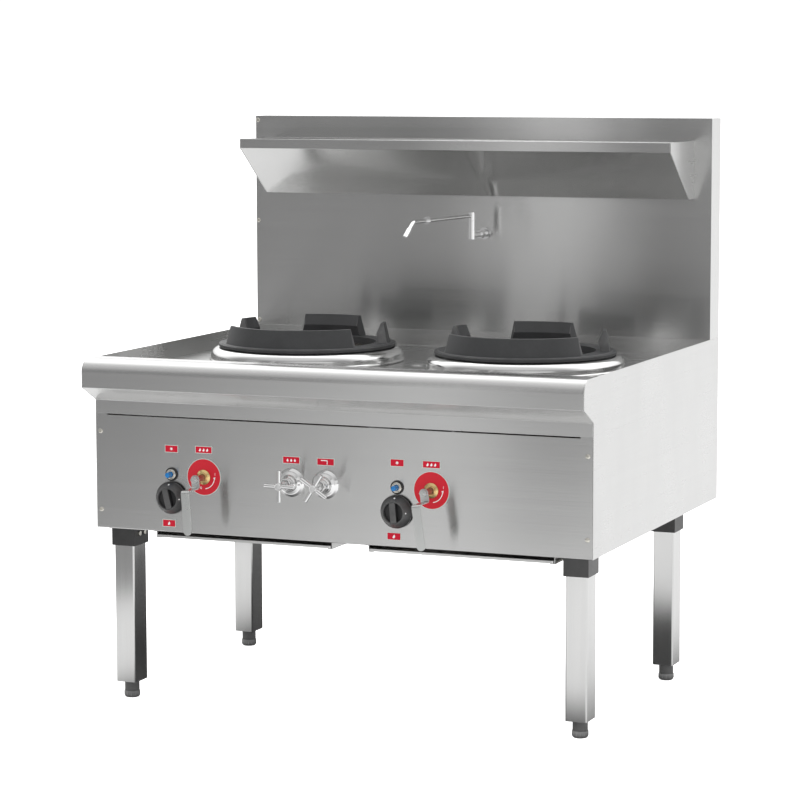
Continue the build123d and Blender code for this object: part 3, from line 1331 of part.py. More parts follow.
# ---------------------------------------------------------------- labels and fasteners
with BuildPart() as label_plates:
    with BuildSketch(facing_front(PANEL_Y)):
        with Locations(*[(x, BODY_BOTTOM + rise) for x, rise in zip(PILOT_XS, TOP_LABEL_RISES)]):
            Rectangle(*SMALL_LABEL)
        low_places = [
            (x + PILOT_LABEL_SHIFT, BODY_BOTTOM + rise)
            for x, rise in zip(PILOT_XS, LOW_LABEL_RISES)
        ]
        with Locations(*low_places):
            Rectangle(*SMALL_LABEL)
        with Locations(*[(x, BODY_BOTTOM + rise) for x, rise in zip(VALVE_XS, WIDE_LABEL_RISES)]):
            Rectangle(*WIDE_LABEL)
        with Locations(*[(x, BODY_BOTTOM + TAP_LABEL_RISE) for x in TAP_XS]):
            Rectangle(*WIDE_LABEL)
        with Locations(*[(x, VALVE_Z) for x in VALVE_XS]):
            Circle(DISC_RADIUS)
            Circle(GLAND_NECK_RADIUS + HOLE_GAP, mode=Mode.SUBTRACT)
    extrude(amount=LABEL_THICK)
save(label_plates, "label_plates")

with BuildPart() as sheet_screws:
    for face_y, places in (
        (PANEL_Y, PANEL_SCREWS),
        (SPLASH_Y, SPLASH_SCREWS),
    ):
        with BuildSketch(facing_front(face_y)):
            with Locations(*places):
                Circle(SCREW_HEAD_RADIUS)
        extrude(amount=SCREW_HEAD)
        with BuildSketch(facing_front(face_y + SCREW_LENGTH)):
            with Locations(*places):
                Circle(SCREW_RADIUS)
        extrude(amount=SCREW_LENGTH)
save(sheet_screws, "sheet_screws")

with BuildPart() as socket_bolts:
    for leg_x, leg_y in LEG_PLACES.values():
        inward, bolt_places = socket_bolt_places(leg_x, leg_y)
        for bolt_place in bolt_places:
            outward_plane = Plane(origin=bolt_place, z_dir=(inward, 0, 0))
            with BuildSketch(outward_plane):
                RegularPolygon(BOLT_HEAD_RADIUS, 6)
            extrude(amount=BOLT_HEAD)
            with BuildSketch(outward_plane):
                Circle(BOLT_RADIUS)
            extrude(amount=-(SOCKET_WALL + LEG_WALL + 4))
save(socket_bolts, "socket_bolts")
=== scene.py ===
# %% [markdown]
# # A two-burner wok range
# A gas wok range is mostly folded stainless sheet: a deep front nose, a flat control panel, a
# sunken deck with two burners, a splashback and a sloping overshelf. The cast wok rings, the
# brass, chrome and plastic controls and the box legs are what the eye rests on. The solids
# come in as a fixed frame. Folded sheet is dressed from merged copies of the solids, because
# their size is already right, and the small turned and cast pieces are modelled here.

# %% Load the frame
import math

import bmesh
import bpy
from mathutils import Matrix, Vector


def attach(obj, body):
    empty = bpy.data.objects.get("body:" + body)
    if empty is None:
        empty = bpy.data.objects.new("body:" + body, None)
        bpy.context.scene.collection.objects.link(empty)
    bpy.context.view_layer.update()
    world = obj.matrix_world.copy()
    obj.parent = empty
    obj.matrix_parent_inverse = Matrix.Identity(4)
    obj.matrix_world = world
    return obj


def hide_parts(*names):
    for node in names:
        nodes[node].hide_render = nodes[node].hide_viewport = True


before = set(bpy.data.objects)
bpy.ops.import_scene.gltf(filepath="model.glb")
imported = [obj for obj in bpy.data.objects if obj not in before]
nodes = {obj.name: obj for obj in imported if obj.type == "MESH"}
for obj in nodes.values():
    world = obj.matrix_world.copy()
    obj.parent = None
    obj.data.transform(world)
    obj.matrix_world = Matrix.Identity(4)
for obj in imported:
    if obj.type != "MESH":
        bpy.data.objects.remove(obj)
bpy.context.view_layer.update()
MM = 0.001

# %% [markdown]
# The photograph was taken with a long lens, from a little above the deck and to the right of
# the middle. A camera can be aimed with a track constraint, but three fitted directions pin it
# exactly, with no constraint left behind, so they are put straight into its matrix.

# %% Camera
CAMERA_PLACE = Vector((2.5458, -6.2466, 1.4865))
CAMERA_RIGHT = Vector((0.92506, 0.37981, -0.00236)).normalized()
CAMERA_AHEAD = Vector((-0.37738, 0.91840, -0.11886)).normalized()
camera_up = CAMERA_RIGHT.cross(CAMERA_AHEAD)
lens = bpy.data.cameras.new("photo_lens")
lens.lens = 130.4
lens.sensor_width = 36
camera = bpy.data.objects.new("photo_camera", lens)
turn = Matrix((CAMERA_RIGHT, camera_up, -CAMERA_AHEAD)).transposed().to_4x4()
camera.matrix_world = Matrix.Translation(CAMERA_PLACE) @ turn
bpy.context.scene.collection.objects.link(camera)
bpy.context.scene.camera = camera
bpy.context.scene.view_settings.view_transform = "Standard"
print("camera", round(CAMERA_PLACE.length, 2), "m from the range")

# %% [markdown]
# A few moves come back for every piece: turn it, place it, face it outward and round its edges.
# They get short names once, so that each later step shows only what is its own.

# %% Shape helpers
def rotation(angle, axis="Z", size=4):
    """A turn in degrees about one axis."""
    return Matrix.Rotation(math.radians(angle), size, axis)


def moved(shape, place):
    bmesh.ops.transform(shape, matrix=place, verts=shape.verts)
    return shape


def facing_out(shape):
    bmesh.ops.recalc_face_normals(shape, faces=shape.faces)
    return shape


def verts_of(geometry):
    return [item for item in geometry if isinstance(item, bmesh.types.BMVert)]


def rounded(shape, geometry, radius, segments, affect="EDGES", **more):
    """Round the given edges or corners; radius in mm."""
    bmesh.ops.bevel(
        shape, geom=geometry, offset=radius * MM, segments=segments, profile=0.5, affect=affect,
        material=-1, **more,
    )
    return shape


print("one unit is", round(1 / MM), "mm")

# %% [markdown]
# Steel shows what stands round it, so the studio matters as much as the metal. A plain white
# room would leave every face equally bright. A real studio is darker on the side where the
# photographer stands, has grey and white flats standing there, and has its soft lamps overhead
# and behind. The brushed sheets draw those flats out into upright bands. Light Path tells a
# reflected ray from the others, so the floor and the walls keep those tones for reflections
# alone and stay plain and pale to the eye. The flats stand 10 m in front of the range. Painted
# on the sky they would show at one place on every sheet. On a real wall they shift between the
# nose and the splashback as they do on the real range.

# %% Node helpers
def preset(made, **values):
    """Set inputs by their names, with _ for a space."""
    for key, value in values.items():
        made.inputs[key.replace("_", " ")].default_value = value


def new_material(name):
    """A new material, its node tree and its shader."""
    material = bpy.data.materials.new(name)
    material.use_nodes = True
    return material, material.node_tree, material.node_tree.nodes["Principled BSDF"]


def node(tree, kind, **values):
    """Add a node, set its properties and the inputs named after it, and give it back."""
    made = tree.nodes.new(kind)
    for key, value in values.items():
        if hasattr(made, key):
            setattr(made, key, value)
        else:
            preset(made, **{key: value})
    return made


def calc(tree, operation, *values):
    """A Math node over numbers and sockets."""
    made = node(tree, "ShaderNodeMath", operation=operation)
    for socket, value in zip(made.inputs, values):
        if isinstance(value, (int, float)):
            socket.default_value = value
        else:
            tree.links.new(value, socket)
    return made.outputs[0]


def place_of(tree, kind="Object"):
    """The X, Y and Z of a texture coordinate."""
    parts = node(tree, "ShaderNodeSeparateXYZ")
    tree.links.new(node(tree, "ShaderNodeTexCoord").outputs[kind], parts.inputs[0])
    return tuple(parts.outputs)


# %% Ramps and mixes
def grey_ramp(tree, fac, stops):
    """A ramp of greys: (place, brightness)."""
    ramp = node(tree, "ShaderNodeValToRGB")
    points = ramp.color_ramp.elements
    points[0].position, points[-1].position = stops[0][0], stops[-1][0]
    for place, _ in stops[1:-1]:
        points.new(place)
    for point, (_, value) in zip(points, stops):
        point.color = (value, value, value, 1)
    tree.links.new(fac, ramp.inputs[0])
    return ramp.outputs[0]


def tones(tree, place, stops):
    """A ramp of greys over a length in metres."""
    first, last = stops[0][0], stops[-1][0]
    along = calc(tree, "MULTIPLY_ADD", place, 1 / (last - first), -first / (last - first))
    return grey_ramp(tree, along, [((x - first) / (last - first), value) for x, value in stops])


def blended(tree, factor, first, second):
    """Mix two numbers; each is a socket or a number."""
    made = node(tree, "ShaderNodeMix", data_type="FLOAT")
    for label, value in (("Factor", factor), ("A", first), ("B", second)):
        if isinstance(value, (int, float)):
            made.inputs[label].default_value = value
        else:
            tree.links.new(value, made.inputs[label])
    return made.outputs["Result"]


def eased(tree, value, low, high):
    """A smooth step from 0 at low to 1 at high."""
    made = node(
        tree, "ShaderNodeMapRange", From_Min=low, From_Max=high, interpolation_type="SMOOTHSTEP",
    )
    tree.links.new(value, made.inputs["Value"])
    return made.outputs[0]


# %% [markdown]
# The floor is one large pale sheet. Low faces of the range mirror the floor in front of them, and
# that floor mirrors the flats. A glossy floor would show the range upside down as well. So the
# floor is matt, and the flats' reflection is painted onto it for reflected rays, along the lines on
# which the camera would see them in the front panel. It is painted brighter close by, and a painted
# shade darkens it under the body.

# %% Studio floor
PANEL_Y = -424.5  # mm, the face of the front panel
WALL_Y = -10.0  # m, the flats in front of the range
FLOOR_TONES = (  # X on the flats in m, brightness
    (-9.0, 0.4), (-5.8, 0.32), (-5.2, 0.37), (-4.9, 0.44), (-4.5, 0.54), (-4.2, 0.58), (-3.9, 0.58),
    (-3.5, 0.62), (-3.2, 0.45), (-2.86, 0.28), (-2.6, 0.36), (6.0, 0.6),
)
PLAIN_TONE, NEAR_TONE, SHADE_TONE = 0.95, 1.05, 0.13
NEAR_SLANT, NEAR_EDGE = 1.19, (-3.3, -2.6)  # the bright part starts along a slanted line
SHADE_FRONT, SHADE_BACK, SHADE_SIDE = (-0.95, -0.4), (1.6, 3.0), (0.5, 0.8)  # m
MIRRORED = Vector((CAMERA_PLACE.x, 2 * PANEL_Y * MM - CAMERA_PLACE.y))


def studio_piece(name, shape, finish):
    """A piece of the studio from a bmesh."""
    mesh = bpy.data.meshes.new(name)
    shape.to_mesh(mesh)
    shape.free()
    mesh.materials.append(finish)
    piece = bpy.data.objects.new(name, mesh)
    bpy.context.scene.collection.objects.link(piece)
    return piece


floor_finish, tree, shader = new_material("pale_floor")
preset(shader, Roughness=0.9, Specular_IOR_Level=0.0, Emission_Strength=1.0)
x, y, _ = place_of(tree)
sideways = calc(tree, "SUBTRACT", x, MIRRORED.x)
slope = calc(tree, "DIVIDE", sideways, calc(tree, "SUBTRACT", y, MIRRORED.y))
wall_x = calc(tree, "MULTIPLY_ADD", slope, WALL_Y - MIRRORED.y, MIRRORED.x)
# painted light: for reflected rays the floor's colour is painted brighter close to the range
near = eased(tree, calc(tree, "MULTIPLY_ADD", x, NEAR_SLANT, y), *NEAR_EDGE)
tone = blended(tree, near, tones(tree, wall_x, FLOOR_TONES), NEAR_TONE)
# painted shade: for reflected rays the floor's colour is painted darker under the body
under = calc(tree, "SUBTRACT", eased(tree, y, *SHADE_FRONT), eased(tree, y, *SHADE_BACK))
beside = eased(tree, calc(tree, "ABSOLUTE", x), *SHADE_SIDE)
shade = calc(tree, "MULTIPLY", under, calc(tree, "SUBTRACT", 1.0, beside))
tone = blended(tree, shade, tone, SHADE_TONE)
rays = node(tree, "ShaderNodeLightPath").outputs
tree.links.new(blended(tree, rays["Is Glossy Ray"], PLAIN_TONE, tone), shader.inputs["Base Color"])
tree.links.new(rays["Is Camera Ray"], shader.inputs["Emission Color"])

floor_shape = bmesh.new()
bmesh.ops.create_grid(floor_shape, x_segments=1, y_segments=1, size=60)
floor = studio_piece("studio_floor", floor_shape, floor_finish)
print("floor", round(floor.dimensions.x), "m across")

# %% [markdown]
# Overhead and behind, the studio is a soft bright sky. In front it is darker and only brightens
# high up, where the lamps hang. A Background shader with those tones is mixed in for reflected
# rays, and a plain white one lights everything else evenly.

# %% Studio sky
FRONT_SKY, FRONT_RISE = (0.35, 0.8), (0.3, 0.9)
BACK_SKY, BACK_RISE = (0.98, 1.9), (0.05, 0.5)
FRONT_TO_BACK = (-0.35, 0.35)
world = bpy.data.worlds.new("studio")
bpy.context.scene.world = world
world.use_nodes = True
sky = world.node_tree
sky.nodes.clear()
_, y, z = place_of(sky, "Generated")
front = blended(sky, eased(sky, z, *FRONT_RISE), *FRONT_SKY)
back = blended(sky, eased(sky, z, *BACK_RISE), *BACK_SKY)
tone = blended(sky, eased(sky, y, *FRONT_TO_BACK), front, back)
glossy_sky = node(sky, "ShaderNodeBackground")
sky.links.new(tone, glossy_sky.inputs["Color"])
plain_sky = node(sky, "ShaderNodeBackground", Color=(1, 1, 1, 1), Strength=1.1)
mix = node(sky, "ShaderNodeMixShader")
sky.links.new(node(sky, "ShaderNodeLightPath").outputs["Is Glossy Ray"], mix.inputs[0])
sky.links.new(plain_sky.outputs[0], mix.inputs[1])
sky.links.new(glossy_sky.outputs[0], mix.inputs[2])
sky.links.new(mix.outputs[0], node(sky, "ShaderNodeOutputWorld").inputs["Surface"])
print("sky nodes:", len(sky.nodes))

# %% [markdown]
# The flats are one upright sheet, 28 m wide and 6 m tall, whose glow changes along its width.
# Separate boards would need an edge for each tone; a ramp over X holds them all and keeps the
# soft edges that boards at different distances have.

# %% Flats in front of the range
WALL_TONES = (  # X in m, brightness
    (-9.0, 0.55), (-5.9, 0.24), (-5.5, 0.26), (-5.2, 0.33), (-5.05, 0.26), (-4.78, 0.33),
    (-4.45, 0.2), (-4.2, 0.21), (-3.95, 0.38), (-3.72, 0.64), (-3.53, 0.86), (-3.35, 0.84),
    (-3.15, 0.66), (-2.98, 0.34), (-2.82, 0.09), (-2.7, 0.1), (-2.55, 0.34), (-2.3, 0.4),
    (0.0, 0.55), (6.0, 0.8),
)
FLATS_HALF = (14, 3)  # m, half the width and half the height
flats_finish, tree, shader = new_material("studio_flats")
preset(shader, Base_Color=(0, 0, 0, 1), Specular_IOR_Level=0.0, Emission_Strength=1.0)
x, _, _ = place_of(tree)
tree.links.new(tones(tree, x, WALL_TONES), shader.inputs["Emission Color"])
flats_shape = bmesh.new()
bmesh.ops.create_grid(flats_shape, x_segments=1, y_segments=1, size=1)
upright = Matrix.Translation((0, WALL_Y, FLATS_HALF[1])) @ rotation(90, "X")
size = Matrix.Diagonal((*FLATS_HALF, 1, 1))
moved(flats_shape, upright @ size)
flats = studio_piece("studio_flats", flats_shape, flats_finish)
for rays in ("camera", "diffuse", "shadow", "transmission"):
    setattr(flats, "visible_" + rays, False)
print("flats", round(flats.dimensions.x), "m wide")

# %% [markdown]
# Brushed stainless is bright metal with a fine one-way grain, and hands and cloths leave soft
# clouds on it. An image of a brushed sheet would tile and stretch. Noise drawn out along one
# axis of the piece gives the grain at any size, so one node group makes it for every sheet,
# and each material gives it its own grain direction, brightness and dullness.

# %% Grain group
def group_sockets(name, inputs, outputs):
    """A new shader group with named sockets: (name, kind, default)."""
    group = bpy.data.node_groups.new(name, "ShaderNodeTree")
    for label, kind, default in inputs:
        socket = group.interface.new_socket(label, in_out="INPUT", socket_type="NodeSocket" + kind)
        socket.default_value = default
    for label, kind in outputs:
        group.interface.new_socket(label, in_out="OUTPUT", socket_type="NodeSocket" + kind)
    ends = group.nodes.new("NodeGroupInput").outputs, group.nodes.new("NodeGroupOutput").inputs
    return group, *ends


def noise(tree, vector, scale, detail=2.0, rough=0.5):
    made = node(tree, "ShaderNodeTexNoise", Scale=scale, Detail=detail, Roughness=rough)
    tree.links.new(vector, made.inputs["Vector"])
    return made.outputs["Fac"]


def stretched(tree, vector, factor):
    made = node(tree, "ShaderNodeVectorMath", operation="MULTIPLY")
    tree.links.new(vector, made.inputs[0])
    if isinstance(factor, tuple):
        made.inputs[1].default_value = factor
    else:
        tree.links.new(factor, made.inputs[1])
    return made.outputs[0]


def brightened(tree, colour, factor):
    made = node(tree, "ShaderNodeVectorMath", operation="SCALE")
    tree.links.new(colour, made.inputs[0])
    tree.links.new(factor, made.inputs["Scale"])
    return made.outputs[0]


grain, given, out = group_sockets(
    "brushed_grain",
    (
        ("Stretch", "Vector", (3.0, 450.0, 450.0)),
        ("Metal", "Color", (0.6, 0.6, 0.59, 1.0)),
        ("Dullness", "Float", 0.3),
        ("Streaks", "Float", 0.1),
        ("Clouds", "Float", 0.1),
    ),
    (("Color", "Color"), ("Roughness", "Float"), ("Height", "Float"), ("Waves", "Float")),
)
own = grain.nodes.new("ShaderNodeTexCoord").outputs["Object"]
along = stretched(grain, own, given["Stretch"])
fine = noise(grain, along, 1.0)
broad = noise(grain, along, 0.16, 3.0, 0.6)
streak = calc(grain, "MULTIPLY_ADD", fine, 0.5, calc(grain, "MULTIPLY", broad, 0.5))
streak = calc(grain, "SUBTRACT", streak, 0.5)
cloud = noise(grain, stretched(grain, own, (1.0, 1.0, 0.45)), 5.0, 4.0, 0.55)
cloud = calc(grain, "SUBTRACT", cloud, 0.5)
streaked = calc(grain, "MULTIPLY", streak, given["Streaks"])
clouded = calc(grain, "MULTIPLY", cloud, given["Clouds"])
light = calc(grain, "ADD", calc(grain, "ADD", streaked, clouded), 1.0)
grain.links.new(brightened(grain, given["Metal"], light), out["Color"])
dull = calc(grain, "ADD", calc(grain, "MULTIPLY", streaked, 0.5), given["Dullness"])
dull = calc(grain, "SUBTRACT", dull, calc(grain, "MULTIPLY", clouded, 0.6))
grain.links.new(dull, out["Roughness"])
grain.links.new(streak, out["Height"])
grain.links.new(noise(grain, stretched(grain, own, (1.0, 1.0, 0.6)), 4.5, 1.0), out["Waves"])
print("grain group:", len(grain.nodes), "nodes")

# %% Metals from the grain
def bumped(tree, shader, height, strength, distance):
    bump = node(tree, "ShaderNodeBump", Strength=strength, Distance=distance)
    tree.links.new(height, bump.inputs["Height"])
    tree.links.new(bump.outputs[0], shader.inputs["Normal"])
    return bump


def brushed(
    name, stretch, metal, dullness, streaks, clouds, bump=0.15, across=0.0, grain_turn=0.25,
    wavy=0.0,
):
    """
    Stainless or plated metal with a one-way grain. Across is how far the grain spreads the
    light one way, and wavy is the height of the sheet's buckles in mm.
    """
    material, tree, shader = new_material(name)
    group = node(tree, "ShaderNodeGroup", node_tree=grain)
    preset(group, Stretch=stretch, Metal=(*metal, 1), Dullness=dullness, Streaks=streaks,
           Clouds=clouds)
    tree.links.new(group.outputs["Color"], shader.inputs["Base Color"])
    tree.links.new(group.outputs["Roughness"], shader.inputs["Roughness"])
    fine = bumped(tree, shader, group.outputs["Height"], bump, 0.0004)
    if wavy:
        buckled = node(tree, "ShaderNodeBump", Strength=1.0, Distance=wavy * MM)
        tree.links.new(group.outputs["Waves"], buckled.inputs["Height"])
        tree.links.new(buckled.outputs[0], fine.inputs["Normal"])
    preset(shader, Metallic=1.0, Anisotropic=across, Anisotropic_Rotation=grain_turn)
    return material


STEEL = (0.63, 0.63, 0.625)
BRIGHT_STEEL = (0.72, 0.72, 0.715)
sheet_across = brushed(
    "sheet_grain_across", (3, 420, 420), STEEL, 0.19, 0.12, 0.08, across=0.95, wavy=0.6,
)
sheet_deep = brushed(
    "sheet_grain_deep", (420, 3, 420), STEEL, 0.28, 0.12, 0.14, across=0.5, wavy=0.4,
)
sheet_up = brushed(
    "sheet_grain_up", (420, 420, 3), STEEL, 0.14, 0.2, 0.12, 0.08, across=0.6, grain_turn=0.0,
)
deck_steel = brushed("deck_steel", (3, 420, 420), STEEL, 0.26, 0.14, 0.14)
polished = brushed(
    "polished_steel", (3, 300, 300), (0.66, 0.66, 0.655), 0.23, 0.08, 0.08, 0.05, across=0.9,
)
turned_steel = brushed("turned_steel", (40, 40, 420), BRIGHT_STEEL, 0.16, 0.08, 0.06, 0.05)
socket_steel = brushed("dark_socket_steel", (60, 60, 60), (0.09, 0.09, 0.09), 0.38, 0.4, 0.5)
chrome = brushed("chrome_plate", (90, 90, 90), (0.84, 0.84, 0.84), 0.05, 0.03, 0.03, 0.0)
zinc = brushed("zinc_plate", (60, 60, 12), (0.66, 0.67, 0.66), 0.27, 0.14, 0.2, 0.08)
brass = brushed("machined_brass", (300, 300, 300), (0.78, 0.58, 0.27), 0.22, 0.15, 0.25, 0.06)
copper = brushed("mauve_copper", (300, 40, 300), (0.50, 0.33, 0.33), 0.34, 0.25, 0.3, 0.08)
nickel = brushed("pale_nickel", (200, 200, 200), (0.74, 0.72, 0.66), 0.2, 0.1, 0.1, 0.04)
water_tube = brushed("drawn_tube", (30, 300, 300), (0.66, 0.66, 0.65), 0.24, 0.1, 0.2)
print("materials so far:", len(bpy.data.materials))

# %% [markdown]
# Cast iron, moulded plastic and paint all have a skin that isn't one way: sand grain on the
# castings, a faint spark texture on the knobs, orange peel on the paint. A second group gives
# such a skin from two sizes of noise, and a worn edge where the piece marks its own edges.

# %% Cast and moulded skins
skin, given, out = group_sockets(
    "sand_skin",
    (
        ("Colour", "Color", (0.03, 0.03, 0.03, 1.0)),
        ("Worn", "Color", (0.2, 0.2, 0.2, 1.0)),
        ("Dullness", "Float", 0.5),
        ("Grain", "Float", 500.0),
        ("Mottle", "Float", 0.3),
    ),
    (("Color", "Color"), ("Roughness", "Float"), ("Height", "Float")),
)
own = skin.nodes.new("ShaderNodeTexCoord").outputs["Object"]
small = node(skin, "ShaderNodeTexNoise", Detail=3.0)
skin.links.new(own, small.inputs["Vector"])
skin.links.new(given["Grain"], small.inputs["Scale"])
large = noise(skin, own, 22.0, 4.0, 0.6)
mottle = calc(skin, "MULTIPLY", calc(skin, "SUBTRACT", large, 0.5), given["Mottle"])
speck = calc(skin, "SUBTRACT", small.outputs["Fac"], 0.5)
speck = calc(skin, "MULTIPLY", speck, given["Mottle"])
light = calc(skin, "ADD", calc(skin, "ADD", mottle, speck), 1.0)
plain = brightened(skin, given["Colour"], light)
edge = node(skin, "ShaderNodeAttribute", attribute_name="edge")
rub = calc(skin, "MULTIPLY", edge.outputs["Fac"], calc(skin, "MULTIPLY_ADD", large, 1.6, -0.2))
rub.node.use_clamp = True
blend = node(skin, "ShaderNodeMix", data_type="RGBA")
skin.links.new(rub, blend.inputs["Factor"])
skin.links.new(plain, blend.inputs["A"])
skin.links.new(given["Worn"], blend.inputs["B"])
skin.links.new(blend.outputs["Result"], out["Color"])
dull = calc(skin, "ADD", given["Dullness"], calc(skin, "MULTIPLY", mottle, 0.3))
skin.links.new(calc(skin, "SUBTRACT", dull, calc(skin, "MULTIPLY", rub, 0.12)), out["Roughness"])
height = calc(skin, "MULTIPLY_ADD", small.outputs["Fac"], 0.6, calc(skin, "MULTIPLY", large, 0.4))
skin.links.new(height, out["Height"])
print("skin group:", len(skin.nodes), "nodes")

# %% Castings, plastics and prints
def moulded(name, colour, worn, dullness, grain_scale, mottle, bump, distance, coat=0.0):
    """A skin with no direction; colours are linear and the bump's distance is in metres."""
    material, tree, shader = new_material(name)
    group = node(tree, "ShaderNodeGroup", node_tree=skin)
    preset(group, Colour=(*colour, 1), Worn=(*worn, 1), Dullness=dullness, Grain=grain_scale,
           Mottle=mottle)
    tree.links.new(group.outputs["Color"], shader.inputs["Base Color"])
    tree.links.new(group.outputs["Roughness"], shader.inputs["Roughness"])
    bumped(tree, shader, group.outputs["Height"], bump, distance)
    preset(shader, Coat_Weight=coat, Coat_Roughness=0.12)
    return material




def grey(value):
    return (value, value, value)


cast_iron = moulded(
    "cast_iron", (0.042, 0.043, 0.045), grey(0.16), 0.5, 420, 0.5, 0.35, 0.0008,
)
burner_iron = moulded(
    "burner_iron", (0.06, 0.055, 0.052), (0.2, 0.18, 0.17), 0.6, 300, 0.6, 0.4, 0.0008,
)
fire_clay = moulded(
    "sooted_fire_clay", (0.20, 0.17, 0.15), (0.3, 0.27, 0.24), 0.85, 180, 0.9, 0.5, 0.001,
)
black_plastic = moulded(
    "black_plastic", (0.022, 0.022, 0.023), grey(0.11), 0.42, 900, 0.2, 0.1, 0.0002,
)
blue_plastic = moulded(
    "blue_plastic", (0.0, 0.17, 0.48), (0.05, 0.3, 0.6), 0.24, 700, 0.15, 0.03, 0.0001, 0.4,
)
WORN_RED = (0.62, 0.02, 0.05)
red_print = moulded("red_print", (0.56, 0.0, 0.022), WORN_RED, 0.5, 500, 0.12, 0.02, 0.0001)
disc_print = moulded("disc_print", (0.58, 0.012, 0.026), WORN_RED, 0.5, 500, 0.16, 0.02, 0.0001)
white_print = moulded("white_print", grey(0.86), grey(0.9), 0.4, 500, 0.05, 0.02, 0.0001)
pale_border = moulded(
    "pale_border", (0.55, 0.68, 0.64), (0.6, 0.7, 0.68), 0.35, 500, 0.05, 0.02, 0.0001,
)
pipe_paint = moulded("pipe_paint", (0.30, 0.30, 0.31), grey(0.4), 0.45, 300, 0.2, 0.1, 0.0003)
foot_iron = moulded("dull_foot", grey(0.10), grey(0.3), 0.45, 350, 0.6, 0.2, 0.0004)
for printed in (red_print, disc_print, white_print, pale_border):
    preset(printed.node_tree.nodes["Principled BSDF"], Specular_IOR_Level=0.25)
print("materials:", len(bpy.data.materials))

# %% [markdown]
# On the real range every panel is cut from 2 mm sheet and folded, so its edges are slightly
# round and catch a thin line of light. The solids have sharp folds. A bevel modifier could go
# on them as they are, but their triangles are loose. So a copy is merged, its flat faces are
# joined, and its sharp edges are bevelled, and that copy is shown in place of the solid.

# %% Show and round
def show(name, shape, materials, body, hides=(), sharp=40):
    """Make a finished piece from a bmesh, at the origin, and let it ride on its body."""
    mesh = bpy.data.meshes.new(name)
    shape.to_mesh(mesh)
    shape.free()
    for material in materials:
        mesh.materials.append(material)
    mesh.shade_smooth()
    mesh.set_sharp_from_angle(angle=math.radians(sharp))
    piece = bpy.data.objects.new(name, mesh)
    bpy.context.scene.collection.objects.link(piece)
    weighted = piece.modifiers.new("even_normals", "WEIGHTED_NORMAL")
    weighted.keep_sharp = True
    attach(piece, body)
    if hides:
        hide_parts(*hides)
    return piece


def bevel_sharp(shape, width, segments=2, angle=35, only=None):
    """Round the edges that turn by more than angle; width in mm."""
    limit = math.radians(angle)
    sharp_edges = [
        e for e in shape.edges
        if e.is_manifold and e.calc_face_angle(0) > limit and (only is None or only(e))
    ]
    return rounded(shape, sharp_edges, width, segments, clamp_overlap=True)


def mark_edges(shape, width=3.0, angle=12):
    """Mark the middle of each rounded edge, for the worn paint of the skins; width in mm."""
    layer = shape.verts.layers.float.new("edge")
    for edge in shape.edges:
        if edge.is_manifold and edge.calc_face_angle_signed(0) > math.radians(angle):
            for vert in edge.verts:
                if all(min(e.calc_length() for e in f.edges) < width * MM for f in vert.link_faces):
                    vert[layer] = 1.0
    return shape


# %% Dress a solid
def merged_copy(source):
    """The mesh of a solid with its loose triangles joined into flat faces."""
    shape = bmesh.new()
    shape.from_mesh(nodes[source].data)
    bmesh.ops.remove_doubles(shape, verts=shape.verts, dist=0.00002)
    bmesh.ops.dissolve_limit(
        shape, angle_limit=math.radians(0.4), verts=shape.verts, edges=shape.edges,
        use_dissolve_boundaries=False, delimit=set(),
    )
    return shape


def dress(source, material, body="range", width=0.7, segments=2, angle=35, end=None):
    """
    Show a merged copy of a solid with rounded edges, in place of the solid. An end is a second
    material and a test for the places of the corners of the faces that take it.
    """
    shape = bevel_sharp(merged_copy(source), width, segments, angle)
    mark_edges(shape, 2 * width)
    materials = [material]
    if end:
        end_material, holds = end
        materials.append(end_material)
        for face in shape.faces:
            face.material_index = int(all(holds(vert.co) for vert in face.verts))
    return show(source + "_dressed", shape, materials, body, hides=[source])


# %% Sheet metal
FOLD = 2.3  # mm, outer radius of the panel's bottom fold
SHEETS = {
    "splashback": sheet_across, "splashback_rear_cover": sheet_across, "rear_panel": sheet_across,
    "overshelf": sheet_across, "shelf_end_plates": sheet_deep, "shelf_seam_strip": sheet_up,
    "side_panel_left": sheet_deep, "side_panel_right": sheet_deep, "deck_pan": deck_steel,
    "front_nose": polished,
}
for source, material in SHEETS.items():
    dress(source, material)


def low_fold(edge):
    """Picks the long outer fold along the bottom of the front panel."""
    return all(v.co.z < 406.1 * MM and v.co.y < (PANEL_Y + 0.2) * MM for v in edge.verts)


panel = bevel_sharp(bevel_sharp(merged_copy("front_panel"), FOLD, 4, only=low_fold), 0.6)
show("front_panel_dressed", panel, [sheet_across], "range", ["front_panel"])
print("dressed sheets:", len(SHEETS) + 1)

# %% [markdown]
# Each leg is a steel box section with a dark sleeve welded into its end, where the levelling
# foot screws in. The solid holds both. Two meshes would leave a seam, so the faces below the
# box's end take the foot's own finish instead. The sockets are dark plate, and the trays are
# thin sheet on folded runners.

# %% Legs, sockets and trays
SLEEVE_TOP = 40.3  # mm
CORNERS = ("front_left", "front_right", "rear_left", "rear_right")
UNDERSIDE = {
    "leg_sockets": socket_steel, "socket_bolts": nickel, "tray_runners": sheet_deep,
    "base_frame_cross_rails": sheet_across, "base_frame_side_rails": sheet_deep,
}
SLEEVE = (foot_iron, lambda place: place.z < SLEEVE_TOP * MM)
for corner in CORNERS:
    dress(f"leg_{corner}", sheet_up, width=0.5, end=SLEEVE)
for source, material in UNDERSIDE.items():
    dress(source, material, width=0.5)
for side in ("left", "right"):
    dress(f"drip_tray_{side}", sheet_across, f"drip_tray_{side}", width=0.3)
print("dressed underside:", len(CORNERS) + len(UNDERSIDE) + 2)

# %% [markdown]
# The round pieces come next: rings, collars, knobs, taps and screws. A lathe does them on the
# real range, and a spin of a half outline does them here. Outlines are written as pairs of
# radius and height in millimetres. What sits on the panel is turned about a lying axis, so its
# height becomes its reach in front of the panel.

# %% Turning helpers
PANEL_PITCH = rotation(90, "X")


